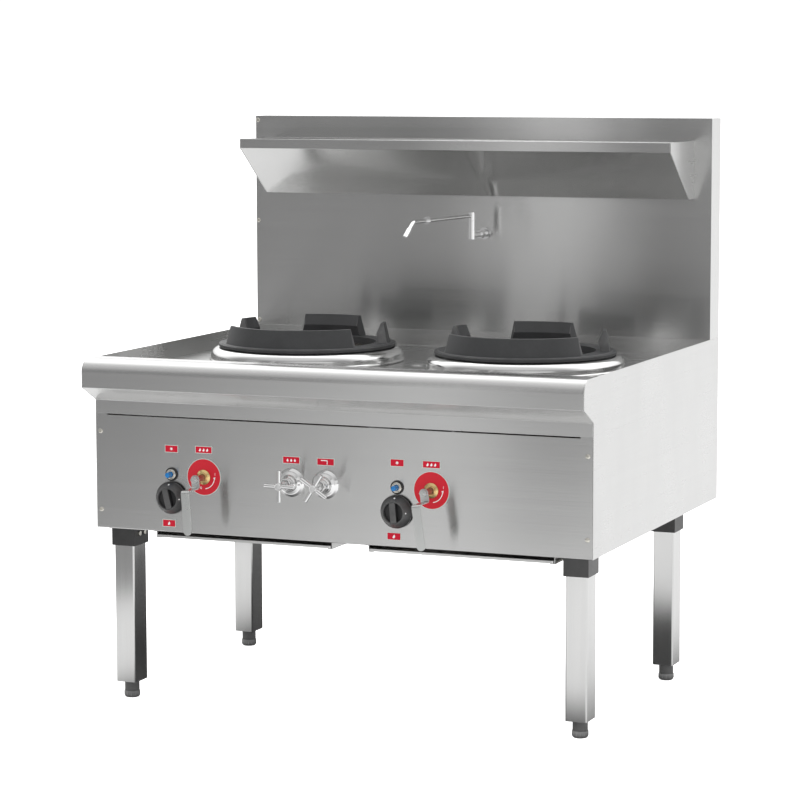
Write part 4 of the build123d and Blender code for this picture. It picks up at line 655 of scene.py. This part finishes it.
def turned(profile, steps=64, loop=False):
    """Spin an outline of (radius, height) in mm about Z; loop joins its ends."""
    shape = bmesh.new()
    verts = [shape.verts.new((radius * MM, 0, height * MM)) for radius, height in profile]
    pairs = list(zip(verts, verts[1:])) + ([(verts[-1], verts[0])] if loop else [])
    edges = [shape.edges.new(pair) for pair in pairs]
    bmesh.ops.spin(
        shape, geom=verts + edges, cent=(0, 0, 0), axis=(0, 0, 1), angle=math.tau, steps=steps,
        use_merge=True,
    )
    bmesh.ops.remove_doubles(shape, verts=shape.verts, dist=1e-6)
    facing_out(shape)
    return shape


def join(target, part, place=None, material=None):
    """Move a part to its place and add it to a larger piece."""
    if material is not None:
        for face in part.faces:
            face.material_index = material
    if place is not None:
        moved(part, place)
    mesh = bpy.data.meshes.new("part")
    part.to_mesh(mesh)
    part.free()
    target.from_mesh(mesh)
    bpy.data.meshes.remove(mesh)
    return target


def at(x, y, z, spin=0.0):
    """A place in mm, turned about Z."""
    return Matrix.Translation((x * MM, y * MM, z * MM)) @ rotation(spin)


def on_panel(x, z, out=0.0, spin=0.0):
    """A place on the front panel: Z points out of the panel and Y points up."""
    place = Matrix.Translation((x * MM, (PANEL_Y - out) * MM, z * MM))
    return place @ PANEL_PITCH @ rotation(spin)


def open_edges(shape):
    return sum(not e.is_manifold for e in shape.edges)


print("panel face at", PANEL_Y, "mm")

# %% [markdown]
# A wok ring is a sand casting: a flange that lies on the collar, a rim that centres it, and
# raised blocks that cradle the wok on their sloping inner faces while hot gas leaves between
# them. A boolean could carve the gaps, but it leaves ragged faces. Each block is a section spun
# through its own arc instead, its ends are cut by slanted planes as the draft of a casting
# needs, and the corners are rounded before the worn edges are marked.

# %% Ring blocks
BURNER_Y = 40.5
BURNER_XS = {"left": -276.5, "right": 276.5}
RING_TURNS = {"left": 0.0, "right": 2.5}
RING_OUTLINE = (
    (164.0, 787.3), (167.7, 787.3), (167.7, 793.3), (203.0, 793.3), (203.0, 795.8), (211.0, 795.8),
    (211.0, 802.3), (203.6, 802.3), (202.6, 804.3), (164.0, 804.3),
)
BLOCKS = (  # start and sweep in degrees, height of the crest in mm
    (-143.0, 112.0, 847.0), (68.0, 50.0, 853.0), (155.0, 19.0, 851.0), (6.0, 19.0, 851.0),
)


def ring_block(start, sweep, crest, foot=803.3, draft=9.0):
    """A raised block: its section spun through its arc, with ends that lean by the draft."""
    shape = bmesh.new()
    section = ((176.5, foot), (198.0, foot), (188.0, crest), (181.0, crest), (171.0, crest - 25))
    verts = [shape.verts.new((radius * MM, 0, height * MM)) for radius, height in section]
    face = shape.faces.new(verts)
    bmesh.ops.spin(
        shape, geom=[*verts, *face.edges, face], cent=(0, 0, 0), axis=(0, 0, 1),
        angle=math.radians(sweep), steps=max(8, round(sweep / 2.5)),
    )
    facing_out(shape)
    for angle, side in ((0.0, -1), (sweep, 1)):
        away = rotation(angle, size=3) @ Vector((0, side, 0))
        lean = math.radians(draft)
        cut = bmesh.ops.bisect_plane(
            shape, geom=[*shape.verts, *shape.edges, *shape.faces], dist=1e-5, clear_outer=True,
            plane_co=(0, 0, foot * MM),
            plane_no=away * math.cos(lean) + Vector((0, 0, math.sin(lean))),
        )
        rim = [item for item in cut["geom_cut"] if isinstance(item, bmesh.types.BMEdge)]
        bmesh.ops.holes_fill(shape, edges=rim, sides=0)
    facing_out(shape)
    return moved(bevel_sharp(shape, 2.4, 3, 25), rotation(start))


print("blocks on each ring:", len(BLOCKS))

# %% Wok rings
for side, ring_x in BURNER_XS.items():
    ring = bevel_sharp(turned(RING_OUTLINE, 120, loop=True), 1.0, 2, 30)
    for start, sweep, crest in BLOCKS:
        join(ring, ring_block(start, sweep, crest))
    moved(ring, at(ring_x, BURNER_Y, 0, RING_TURNS[side]))
    mark_edges(ring, 2.2)
    print("wok ring", side, "faces", len(ring.faces), "open edges", open_edges(ring))
    show(f"cast_wok_ring_{side}", ring, [cast_iron], f"wok_ring_{side}", [f"wok_ring_{side}"])

# %% [markdown]
# The collar is spun from bright sheet: it rises from the deck, rounds over to a flat top and
# turns down into the mouth, and a bead of weld runs round its foot. A wide bevel on a spun
# outline gives the rounding, and solidify gives the sheet its thickness, so one number sets it.

# %% Burner collars
DECK_Z, COLLAR_TOP, COLLAR_R, MOUTH_R = 760.0, 793.0, 230.0, 168.0
BEAD_R = 3.5


def ring_edge(radius, height):
    """Picks the edges of a turned piece that run round at one radius and height, in mm."""
    def picks(edge):
        return all(
            abs(v.co.xy.length / MM - radius) < 0.01 and abs(v.co.z / MM - height) < 0.01
            for v in edge.verts
        )
    return picks


for side, burner_x in BURNER_XS.items():
    collar = turned((
        (COLLAR_R, DECK_Z), (COLLAR_R, COLLAR_TOP), (MOUTH_R, COLLAR_TOP),
        (MOUTH_R, COLLAR_TOP - 12),
    ), 128)
    bevel_sharp(collar, 20, 10, 30, ring_edge(COLLAR_R, COLLAR_TOP))
    bevel_sharp(collar, 3, 4, 30, ring_edge(MOUTH_R, COLLAR_TOP))
    facing_out(collar)
    bmesh.ops.solidify(collar, geom=collar.faces[:], thickness=2 * MM)
    reach = max(v.co.xy.length for v in collar.verts) / MM
    turns = [math.tau * i / 12 for i in range(12)]
    bead = [
        (COLLAR_R + BEAD_R * math.cos(t), DECK_Z + BEAD_R + BEAD_R * math.sin(t)) for t in turns
    ]
    join(collar, turned(bead, 128, loop=True))
    moved(collar, at(burner_x, BURNER_Y, 0))
    print("collar", side, "reach", round(reach, 2), "open edges", open_edges(collar))
    show(f"spun_collar_{side}", collar, [turned_steel], "range", [f"burner_collar_{side}"])
    dress(f"burner_head_{side}", burner_iron, width=0.8)
    dress(f"combustion_chamber_{side}", fire_clay, width=1.0)
print("burners dressed")

# %% [markdown]
# The pilot knobs are black moulded plastic: a thin skirt, a cone that carries two white dots,
# and a small round front with a grip bar across its dish. Cutting a dish and a bar from one
# block needs many loops. Two closed shapes are simpler, a turned body and a tapered, rounded
# bar sunk into it.

# %% Knob shapes
PILOT_XS = {"left": -406.5, "right": 146.5}
PILOT_Z = 486.0
KNOB_TURNS = {"left": 14.0, "right": 5.0}
CONE_FOOT, CONE_TOP = (36.4, 8.3), (25.7, 25.2)
KNOB_OUTLINE = (
    (4.2, 5.0), (36.5, 5.0), (37.0, 5.5), (37.0, 7.6), CONE_FOOT, CONE_TOP, (24.9, 26.0),
    (23.4, 26.0), (22.8, 25.5), (21.2, 17.6), (20.4, 17.0), (0.0, 17.0),
)
CONE_RISE = (CONE_TOP[1] - CONE_FOOT[1]) / (CONE_FOOT[0] - CONE_TOP[0])
DOTS = ((90, 31.2, 2.0), (0, 28.2, 1.7))  # degrees round the knob, radius on it, own radius


def grip_bar(width, length, foot, front, taper=0.84):
    """A bar that narrows towards its front, with round corners."""
    shape = bmesh.new()
    bmesh.ops.create_cube(shape, size=1)
    for vert in shape.verts:
        if vert.co.z > 0:
            vert.co.x *= taper
            vert.co.y *= 0.95
    size = Matrix.Diagonal((width * MM, length * MM, (front - foot) * MM, 1))
    moved(shape, at(0, 0, (front + foot) / 2) @ size)
    upright = [e for e in shape.edges if abs(e.verts[0].co.z - e.verts[1].co.z) > 5 * MM]
    return bevel_sharp(rounded(shape, upright, 4.5, 5), 1.8, 3, 50)


def dot(radius, thick=0.4):
    return bevel_sharp(turned(((0, 0), (radius, 0), (radius, thick), (0, thick)), 20), 0.1, 1)


print("cone leans", round(math.degrees(math.atan(CONE_RISE)), 1), "degrees")

# %% Pilot knobs
for side, pilot_x in PILOT_XS.items():
    knob = turned(KNOB_OUTLINE, 96)
    join(knob, grip_bar(17, 48, 12, 29), at(0, 0, 0, KNOB_TURNS[side]))
    tilt = Matrix.Rotation(math.atan(CONE_RISE), 4, "Y")
    for angle, radius, size in DOTS:
        reach = CONE_FOOT[1] + (CONE_FOOT[0] - radius) * CONE_RISE
        join(knob, dot(size), at(0, 0, 0, angle) @ at(radius, 0, reach) @ tilt, 1)
    moved(knob, on_panel(pilot_x, PILOT_Z))
    mark_edges(knob, 2.5)
    show(f"pilot_grip_{side}", knob, [black_plastic, white_print], f"pilot_knob_{side}",
         [f"pilot_knob_{side}"])
    dress(f"pilot_spindle_{side}", brass, f"pilot_spindle_{side}", 0.3)
print("knobs at x", list(PILOT_XS.values()))

# %% [markdown]
# Above each knob sits the push button of the spark igniter: a rubber bezel, a pale ring nut
# turned in steps, and a long blue plastic button with a waist. All three are lathe shapes on
# one axis.

# %% Igniters
IGNITER_Z = 539.5
BEZEL = ((10.2, 0), (15.5, 0), (15.5, 2.2), (14.7, 3), (12.6, 3), (12, 2.4), (10.2, 2.4))
RING_NUT = (
    (6.2, 1.0), (12.0, 1.0), (12.0, 5.4), (11.2, 6.2), (10.0, 6.2), (9.4, 6.8), (9.4, 8.4),
    (8.8, 9.0), (6.8, 9.0), (6.2, 8.4),
)
NECK = (
    (0, -45), (5.5, -45), (6, -44.4), (6, -34), (11.4, -34), (12, -33.4), (12, -2.6), (11.6, -2.2),
    (9, -2.2), (9, 1.5), (6.4, 1.5), (6.4, -18), (0, -18),
)
BUTTON = (
    (0, -12), (6, -12), (6, 12), (5.2, 13), (5.2, 15), (6, 16), (6, 22.4), (5.4, 23.5), (4.4, 24),
    (0, 24),
)
housings = bmesh.new()
for side, igniter_x in PILOT_XS.items():
    for outline, material, loop in ((BEZEL, 0, True), (RING_NUT, 1, True), (NECK, 0, False)):
        part = bevel_sharp(turned(outline, 48, loop), 0.25, 2, 40)
        join(housings, part, on_panel(igniter_x, IGNITER_Z), material)
    button = bevel_sharp(turned(BUTTON, 48), 0.25, 2, 40)
    moved(button, on_panel(igniter_x, IGNITER_Z))
    show(f"spark_button_{side}", button, [blue_plastic], f"igniter_button_{side}",
         [f"igniter_button_{side}"])
print("igniter housings", len(housings.faces), "faces, open edges", open_edges(housings))
show("spark_housings", housings, [black_plastic, nickel], "range", ["igniter_housings"])

# %% [markdown]
# Red plates with a pale border mark each control with plain signs: a spark over the igniters,
# flames for the burners, drops for the taps, and nought, one and an arrow on the discs. Each
# plate is a grid face with rounded corners, drawn out to its thickness and inset for its
# border. The signs are thin raised shapes, so they need no image.

# %% Flat shapes for the plates
LABEL_THICK, PRINT_THICK, BORDER = 0.8, 0.15, 1.1
RED, RIM, WHITE, DISC = range(4)


def thickened(shape, thick):
    """Draw the flat faces of a shape out along Z, in mm."""
    raised = bmesh.ops.extrude_face_region(shape, geom=shape.faces[:])["geom"]
    bmesh.ops.translate(shape, verts=verts_of(raised), vec=(0, 0, thick * MM))
    return facing_out(shape)


def bordered(shape, thick, border):
    """Draw a flat shape out and give its red front a pale rim."""
    thickened(shape, thick)
    half = thick * MM / 2
    front = [f for f in shape.faces if f.normal.z > 0.9 and f.calc_center_median().z > half]
    for face in shape.faces:
        face.material_index = RIM
    bmesh.ops.inset_region(
        shape, faces=front, thickness=border * MM, use_even_offset=True, use_boundary=True,
    )
    for face in front:
        face.material_index = RED
    return shape


def plate(width, height):
    """A plate with round corners; its red field is width by height in mm."""
    shape = bmesh.new()
    bmesh.ops.create_grid(shape, x_segments=1, y_segments=1, size=0.5)
    size = ((width + 2 * BORDER) * MM, (height + 2 * BORDER) * MM, 1)
    bmesh.ops.scale(shape, vec=size, verts=shape.verts)
    rounded(shape, shape.verts[:], 1.2, 3, "VERTICES")
    return bordered(shape, LABEL_THICK, BORDER)


print("border", BORDER, "mm")

# %% Signs
FONT_SIZE = 1.4  # of a digit's height


def flat_disc(radius, segments=24):
    """A round face in mm; with few segments it is a triangle or a star's blank."""
    shape = bmesh.new()
    bmesh.ops.create_circle(shape, segments=segments, radius=radius * MM, cap_ends=True)
    return shape


def drop(radius, lean=0.0):
    """A falling drop; with a lean it becomes a flame."""
    shape = flat_disc(radius)
    for vert in shape.verts:
        rise = vert.co.y / (radius * MM)
        if rise > 0:
            vert.co.x *= (1 - rise) ** 0.5 if rise < 1 else 0
            vert.co.y *= 1.9
        vert.co.x += lean * math.sin(rise * 2.2) * radius * MM
    bmesh.ops.remove_doubles(shape, verts=shape.verts, dist=1e-6)
    return thickened(shape, PRINT_THICK)


def spark(radius):
    """A star with eight points."""
    shape = flat_disc(radius, 16)
    for vert in list(shape.verts)[::2]:
        vert.co *= 0.38
    return thickened(shape, PRINT_THICK)


def bar(width, height):
    """A straight bar, as the faucet's sign needs."""
    shape = bmesh.new()
    bmesh.ops.create_grid(shape, x_segments=1, y_segments=1, size=0.5)
    bmesh.ops.scale(shape, vec=(width * MM, height * MM, 1), verts=shape.verts)
    return thickened(shape, PRINT_THICK)


def numeral(digit, height):
    """One digit from the built-in font, as a mesh."""
    letters = bpy.data.curves.new("digit", "FONT")
    letters.body, letters.size = digit, height * MM * FONT_SIZE
    letters.align_x, letters.align_y = "CENTER", "CENTER"
    holder = bpy.data.objects.new("digit", letters)
    bpy.context.scene.collection.objects.link(holder)
    bpy.context.view_layer.update()
    mesh = bpy.data.meshes.new_from_object(holder)
    bpy.data.objects.remove(holder)
    shape = bmesh.new()
    shape.from_mesh(mesh)
    bpy.data.meshes.remove(mesh)
    return thickened(shape, PRINT_THICK)


def swept_arrow(radius, width, start, end, head):
    """A bent arrow round the middle, with its head at the end angle."""
    shape = bmesh.new()
    verts = [shape.verts.new(((radius + half) * MM, 0, 0)) for half in (-width / 2, width / 2)]
    edge = shape.edges.new(verts)
    bmesh.ops.spin(
        shape, geom=[*verts, edge], cent=(0, 0, 0), axis=(0, 0, 1),
        angle=math.radians(end - start), steps=18,
    )
    facing_out(shape)
    thickened(shape, PRINT_THICK)
    moved(shape, rotation(start))
    point = thickened(flat_disc(head, 3), PRINT_THICK)
    tip = at(radius, head * 0.4, 0, 90 if end >= start else -90)
    return join(shape, point, rotation(end) @ tip)


print("signs are", PRINT_THICK, "mm thick")

# %% Plates and discs
VALVE_XS = {"left": -325.5, "right": 227.5}
VALVE_Z = 537.0
TAP_XS = {"tank": -108.5, "faucet": -25.0}
PLATE_ZS = {"left": (597.5, 426.5, 599.0), "right": (594.0, 430.0, 594.0)}  # igniter, pilot, burner
TAP_PLATE_Z = 587.0
SMALL_PLATE, WIDE_PLATE = (31, 15), (40, 14.5)
PILOT_SHIFT, ROW = -8, (-9, 0, 9)
DISC_R, DISC_HOLE = 41, 15.2
labels = bmesh.new()


def stick(shape, x, z):
    """Put a plate or a disc flat on the panel."""
    join(labels, shape, on_panel(x, z))


def sign(shape, x, z):
    """Put a white sign on top of a plate."""
    join(labels, shape, on_panel(x, z, LABEL_THICK), WHITE)


for side, pilot_x in PILOT_XS.items():
    valve_x = VALVE_XS[side]
    igniter_z, pilot_z, burner_z = PLATE_ZS[side]
    stick(plate(*SMALL_PLATE), pilot_x, igniter_z)
    stick(plate(*SMALL_PLATE), pilot_x + PILOT_SHIFT, pilot_z)
    stick(plate(*WIDE_PLATE), valve_x, burner_z)
    sign(spark(4.6), pilot_x, igniter_z)
    sign(drop(2.9, 0.22), pilot_x + PILOT_SHIFT, pilot_z - 1.4)
    for shift in ROW:
        sign(drop(2.5, 0.22), valve_x + shift, burner_z - 1.2)
    disc = bmesh.new()
    for radius in (DISC_R + BORDER, DISC_HOLE):
        bmesh.ops.create_circle(disc, segments=96, radius=radius * MM)
    bmesh.ops.bridge_loops(disc, edges=disc.edges[:])
    facing_out(disc)
    for face in bordered(disc, LABEL_THICK, BORDER).faces:
        if face.material_index == RED:
            face.material_index = DISC
    stick(disc, valve_x, VALVE_Z)
    sign(swept_arrow(26.5, 1.7, -82, -6, 3.4), valve_x, VALVE_Z)
    for digit, angle, radius in (("1", 15, 29), ("0", -106, 26)):
        place = rotation(angle, size=3) @ Vector((radius, 0, 0))
        sign(numeral(digit, 6), valve_x + place.x, VALVE_Z + place.y)
for tap_x in TAP_XS.values():
    stick(plate(*WIDE_PLATE), tap_x, TAP_PLATE_Z)
for shift in ROW:
    sign(drop(2.4), TAP_XS["tank"] + shift, TAP_PLATE_Z - 1.4)
sign(bar(15, 2.0), TAP_XS["faucet"] - 3.5, TAP_PLATE_Z + 3)
sign(bar(2.0, 4.6), TAP_XS["faucet"] + 3.9, TAP_PLATE_Z + 1)
sign(drop(1.4), TAP_XS["faucet"] + 3.9, TAP_PLATE_Z - 4)
print("labels", len(labels.faces), "faces")
show("sign_plates", labels, [red_print, pale_border, white_print, disc_print], "range",
     ["label_plates"])

# %% [markdown]
# A main valve is a brass body with a flat gland, a mauve copper-coloured stem, and a strap
# handle held by a hex nut. The strap is bent from flat bar, so it is built that way here: a
# chain of points is drawn out to the strap's width, its two bends are rounded, and solidify
# gives it its thickness. The packing nut and the stud's end, which are too fine for the solids,
# are turned here and ride with them.

# %% Levers
STRAP_WIDTH, STRAP_THICK = 20, 3
HEAD_REACH, HANDLE_REACH = 46, 101  # mm in front of the panel
HEAD_TOP, STEP_DROP, HANDLE_END = 10, -18, -118.5  # mm above the stem
END_ROUNDS = {HEAD_TOP: 8.6, HANDLE_END: 9.6}
BEND_ROUNDS = {HEAD_REACH: 3.2, HANDLE_REACH: 6.0}


def close(value, mm):
    """Whether a length in metres is this many mm."""
    return abs(value - mm * MM) < 1e-5


def bent_strap():
    """The lever: head, forward run and handle of one bent flat bar."""
    shape = bmesh.new()
    places = (
        (HEAD_TOP, HEAD_REACH), (STEP_DROP, HEAD_REACH), (STEP_DROP, HANDLE_REACH),
        (HANDLE_END, HANDLE_REACH),
    )
    chain = [shape.verts.new((-STRAP_WIDTH / 2 * MM, y * MM, out * MM)) for y, out in places]
    run = [shape.edges.new(pair) for pair in zip(chain, chain[1:])]
    drawn = bmesh.ops.extrude_edge_only(shape, edges=run)["geom"]
    bmesh.ops.translate(shape, verts=verts_of(drawn), vec=(STRAP_WIDTH * MM, 0, 0))
    for end, size in END_ROUNDS.items():
        corners = [v for v in shape.verts if close(v.co.y, end) and len(v.link_edges) == 2]
        rounded(shape, corners, size, 7, "VERTICES")
    for out, radius in BEND_ROUNDS.items():
        bend = [
            e for e in shape.edges
            if all(close(v.co.y, STEP_DROP) and close(v.co.z, out) for v in e.verts)
        ]
        rounded(shape, bend, radius, 6)
    facing_out(shape)
    handle = min(shape.faces, key=lambda face: face.calc_center_median().y)
    if handle.normal.z < 0:
        bmesh.ops.reverse_faces(shape, faces=shape.faces)
    bmesh.ops.solidify(shape, geom=shape.faces[:], thickness=STRAP_THICK * MM)
    return bevel_sharp(shape, 0.7, 2, 50)


print("lever reaches", HANDLE_REACH, "mm from the panel")

# %% Main valves
LEVER_LEANS = {"left": 3.7, "right": 8.0}
PACKING_NUT = ((7.2, 7.2), (11.4, 7.2), (11.4, 9.4), (10.4, 10.4), (8.2, 10.4), (7.2, 9.6))
STUD = (
    (0, 51.5), (6.7, 51.5), (6.7, 52.3), (6.2, 52.6), (4.2, 52.6), (4.0, 52.9), (4.0, 54.4),
    (3.2, 55.2), (0, 55.2),
)
NUT_END = (zinc, lambda place: place.y < (PANEL_Y - HEAD_REACH + 0.1) * MM)
for side, valve_x in VALVE_XS.items():
    dress(f"main_valve_body_{side}", brass, width=0.6)
    dress(f"valve_stem_{side}", copper, f"main_valve_{side}", 0.5, end=NUT_END)
    lever = bent_strap()
    hung = on_panel(valve_x, VALVE_Z, 0, LEVER_LEANS[side])
    moved(lever, hung)
    reach = PANEL_Y - min(v.co.y for v in lever.verts) / MM
    print("lever", side, "from the panel", round(reach, 2), "mm")
    show(f"strap_lever_{side}", lever, [zinc], f"main_valve_{side}", [f"valve_lever_{side}"])
    nut = bevel_sharp(turned(PACKING_NUT, 48, True), 0.2, 2)
    moved(nut, on_panel(valve_x, VALVE_Z))
    show(f"packing_nut_{side}", nut, [brass], "range")
    stud = bevel_sharp(turned(STUD, 40), 0.2, 2)
    moved(stud, on_panel(valve_x, VALVE_Z))
    show(f"lever_stud_{side}", stud, [zinc], f"main_valve_{side}")
print("valves dressed")

# %% [markdown]
# The two water taps are chrome on brass: a stepped round plate against the panel, a bonnet, and
# a cross handle with four straight arms. Chrome is nearly a mirror, so what reads is the line of
# light along each rounded edge. The steps are kept crisp in the outline and then bevelled.

# %% Water taps
TAP_Z = 536.5
TAP_SPINS = {"tank": 0.0, "faucet": -33.0}
TAP_PLATE = (
    (10.3, 0), (32.5, 0), (32.5, 3), (26.5, 8), (25.0, 8.4), (19, 12), (17, 18), (14, 22), (14, 36),
    (12.8, 38), (10.3, 38),
)
TAP_HUB = (
    (0, -25), (5, -25), (5, 38.3), (10, 38.3), (10, 40), (8.2, 44), (8.0, 56), (8.8, 59),
    (8.8, 73.6), (7.8, 75.4), (6.8, 76.0), (6.2, 75.2), (0, 75.7),
)
ARM_MIDDLE, ARM_REACH, ARM_LENGTH = 18, 67, 36
plates = bmesh.new()
for name, tap_x in TAP_XS.items():
    join(plates, bevel_sharp(turned(TAP_PLATE, 72, True), 0.7, 3, 15), on_panel(tap_x, TAP_Z))
    handle = bevel_sharp(turned(TAP_HUB, 48), 0.5, 2, 20)
    for angle in range(0, 360, 90):
        arm = bmesh.new()
        bmesh.ops.create_cone(
            arm, cap_ends=True, segments=32, radius1=4.3 * MM, radius2=4.9 * MM,
            depth=ARM_LENGTH * MM,
        )
        bevel_sharp(arm, 1.4, 4, 50)
        lying = at(ARM_MIDDLE, 0, ARM_REACH) @ rotation(90, "Y")
        join(handle, arm, at(0, 0, 0, angle) @ lying)
    seen = on_panel(tap_x, TAP_Z, 0, TAP_SPINS[name])
    moved(handle, seen)
    print("tap handle", name, "open edges", open_edges(handle))
    show(f"cross_handle_{name}", handle, [chrome], f"tap_handle_{name}", [f"tap_handle_{name}"])
show("tap_plates", plates, [chrome], "range", ["tap_escutcheons"])

# %% [markdown]
# The faucet, the drain and the levelling feet are turned and bent pieces whose solids already
# have the real shape down to the nut and the slots. A fine bevel gives them their highlights.

# %% Faucet, drain and feet
dress("faucet_body", chrome, width=0.5)
dress("faucet_spout", chrome, "spout", 0.4)
dress("deck_drain", polished, width=0.3)
for corner in CORNERS:
    dress(f"levelling_foot_{corner}", foot_iron, f"levelling_foot_{corner}", 0.8)
print("faucet, drain and feet dressed")

# %% [markdown]
# Cross-head screws hold the panel and the splashback. Each head is a spun dome whose open top is
# bridged to a plus-shaped patch, and the patch is pushed down for the driver. Seven of them are
# cheap this way, and the recess is real from any side.

# %% Screws
SCREWS = [(x, PANEL_Y, z) for x in (-587, 587) for z in (449, 630)]
SCREWS += [(-593.5, 450.5, z) for z in (811, 1065, 1319)]
HEAD_R, HEAD_HEIGHT, SHANK_R, SHANK = 5.5, 2.5, 2, 6
RIM_SHARE = 0.68  # of the head's radius, where the open top starts


def cross_head(radius, height):
    """A domed head with a plus-shaped recess."""
    dome = ((radius, 0), (radius, height * 0.45), (radius * 0.9, height * 0.8))
    shape = turned((*dome, (radius * RIM_SHARE, height)), 24)
    rim = [e for e in shape.edges if ring_edge(radius * RIM_SHARE, height)(e)]
    half = radius * 0.5 * MM
    patch = bmesh.ops.create_grid(shape, x_segments=3, y_segments=3, size=half)["verts"]
    bmesh.ops.translate(shape, verts=patch, vec=(0, 0, height * MM))
    faces = {face for vert in patch for face in vert.link_faces}
    corners = [f for f in faces if min(map(abs, f.calc_center_median().xy)) > 0.1 * MM]
    bmesh.ops.delete(shape, geom=corners, context="FACES")
    plus = [f for f in faces if f.is_valid]
    loose = [v for v in patch if v.is_valid and not v.link_faces]
    bmesh.ops.delete(shape, geom=loose, context="VERTS")
    border = [e for f in plus for e in f.edges if len(e.link_faces) == 1]
    bmesh.ops.bridge_loops(shape, edges=rim + list(dict.fromkeys(border)))
    pushed = bmesh.ops.extrude_face_region(shape, geom=plus)["geom"]
    bmesh.ops.delete(shape, geom=plus, context="FACES_ONLY")
    bmesh.ops.translate(shape, verts=verts_of(pushed), vec=(0, 0, -height * 0.5 * MM))
    return facing_out(shape)


screws = bmesh.new()
for count, (x, y, z) in enumerate(SCREWS):
    place = Matrix.Translation((x * MM, y * MM, z * MM)) @ PANEL_PITCH
    join(screws, cross_head(HEAD_R, HEAD_HEIGHT), place @ Matrix.Rotation(0.7 * count, 4, "Z"))
    join(screws, turned(((0, -SHANK), (SHANK_R, -SHANK), (SHANK_R, 0)), 16), place)
print("screws", len(SCREWS), "faces", len(screws.faces))
show("cross_head_screws", screws, [nickel], "range", ["sheet_screws"])

# %% [markdown]
# Pipes, valves and tubes behind the panel are seen from below, from behind and when a part is
# taken apart. They keep their solid shapes with rounded edges, and each gets the finish of the
# real pipe: grey paint for gas, drawn tube for water.

# %% Pipework
PIPES = {
    "gas_manifold": pipe_paint, "burner_gas_tubes": pipe_paint, "pilot_valve_bodies": brass,
    "water_valve_bodies": chrome, "water_pipes": water_tube,
}
for source, material in PIPES.items():
    dress(source, material, width=0.4)
print("pipework dressed")
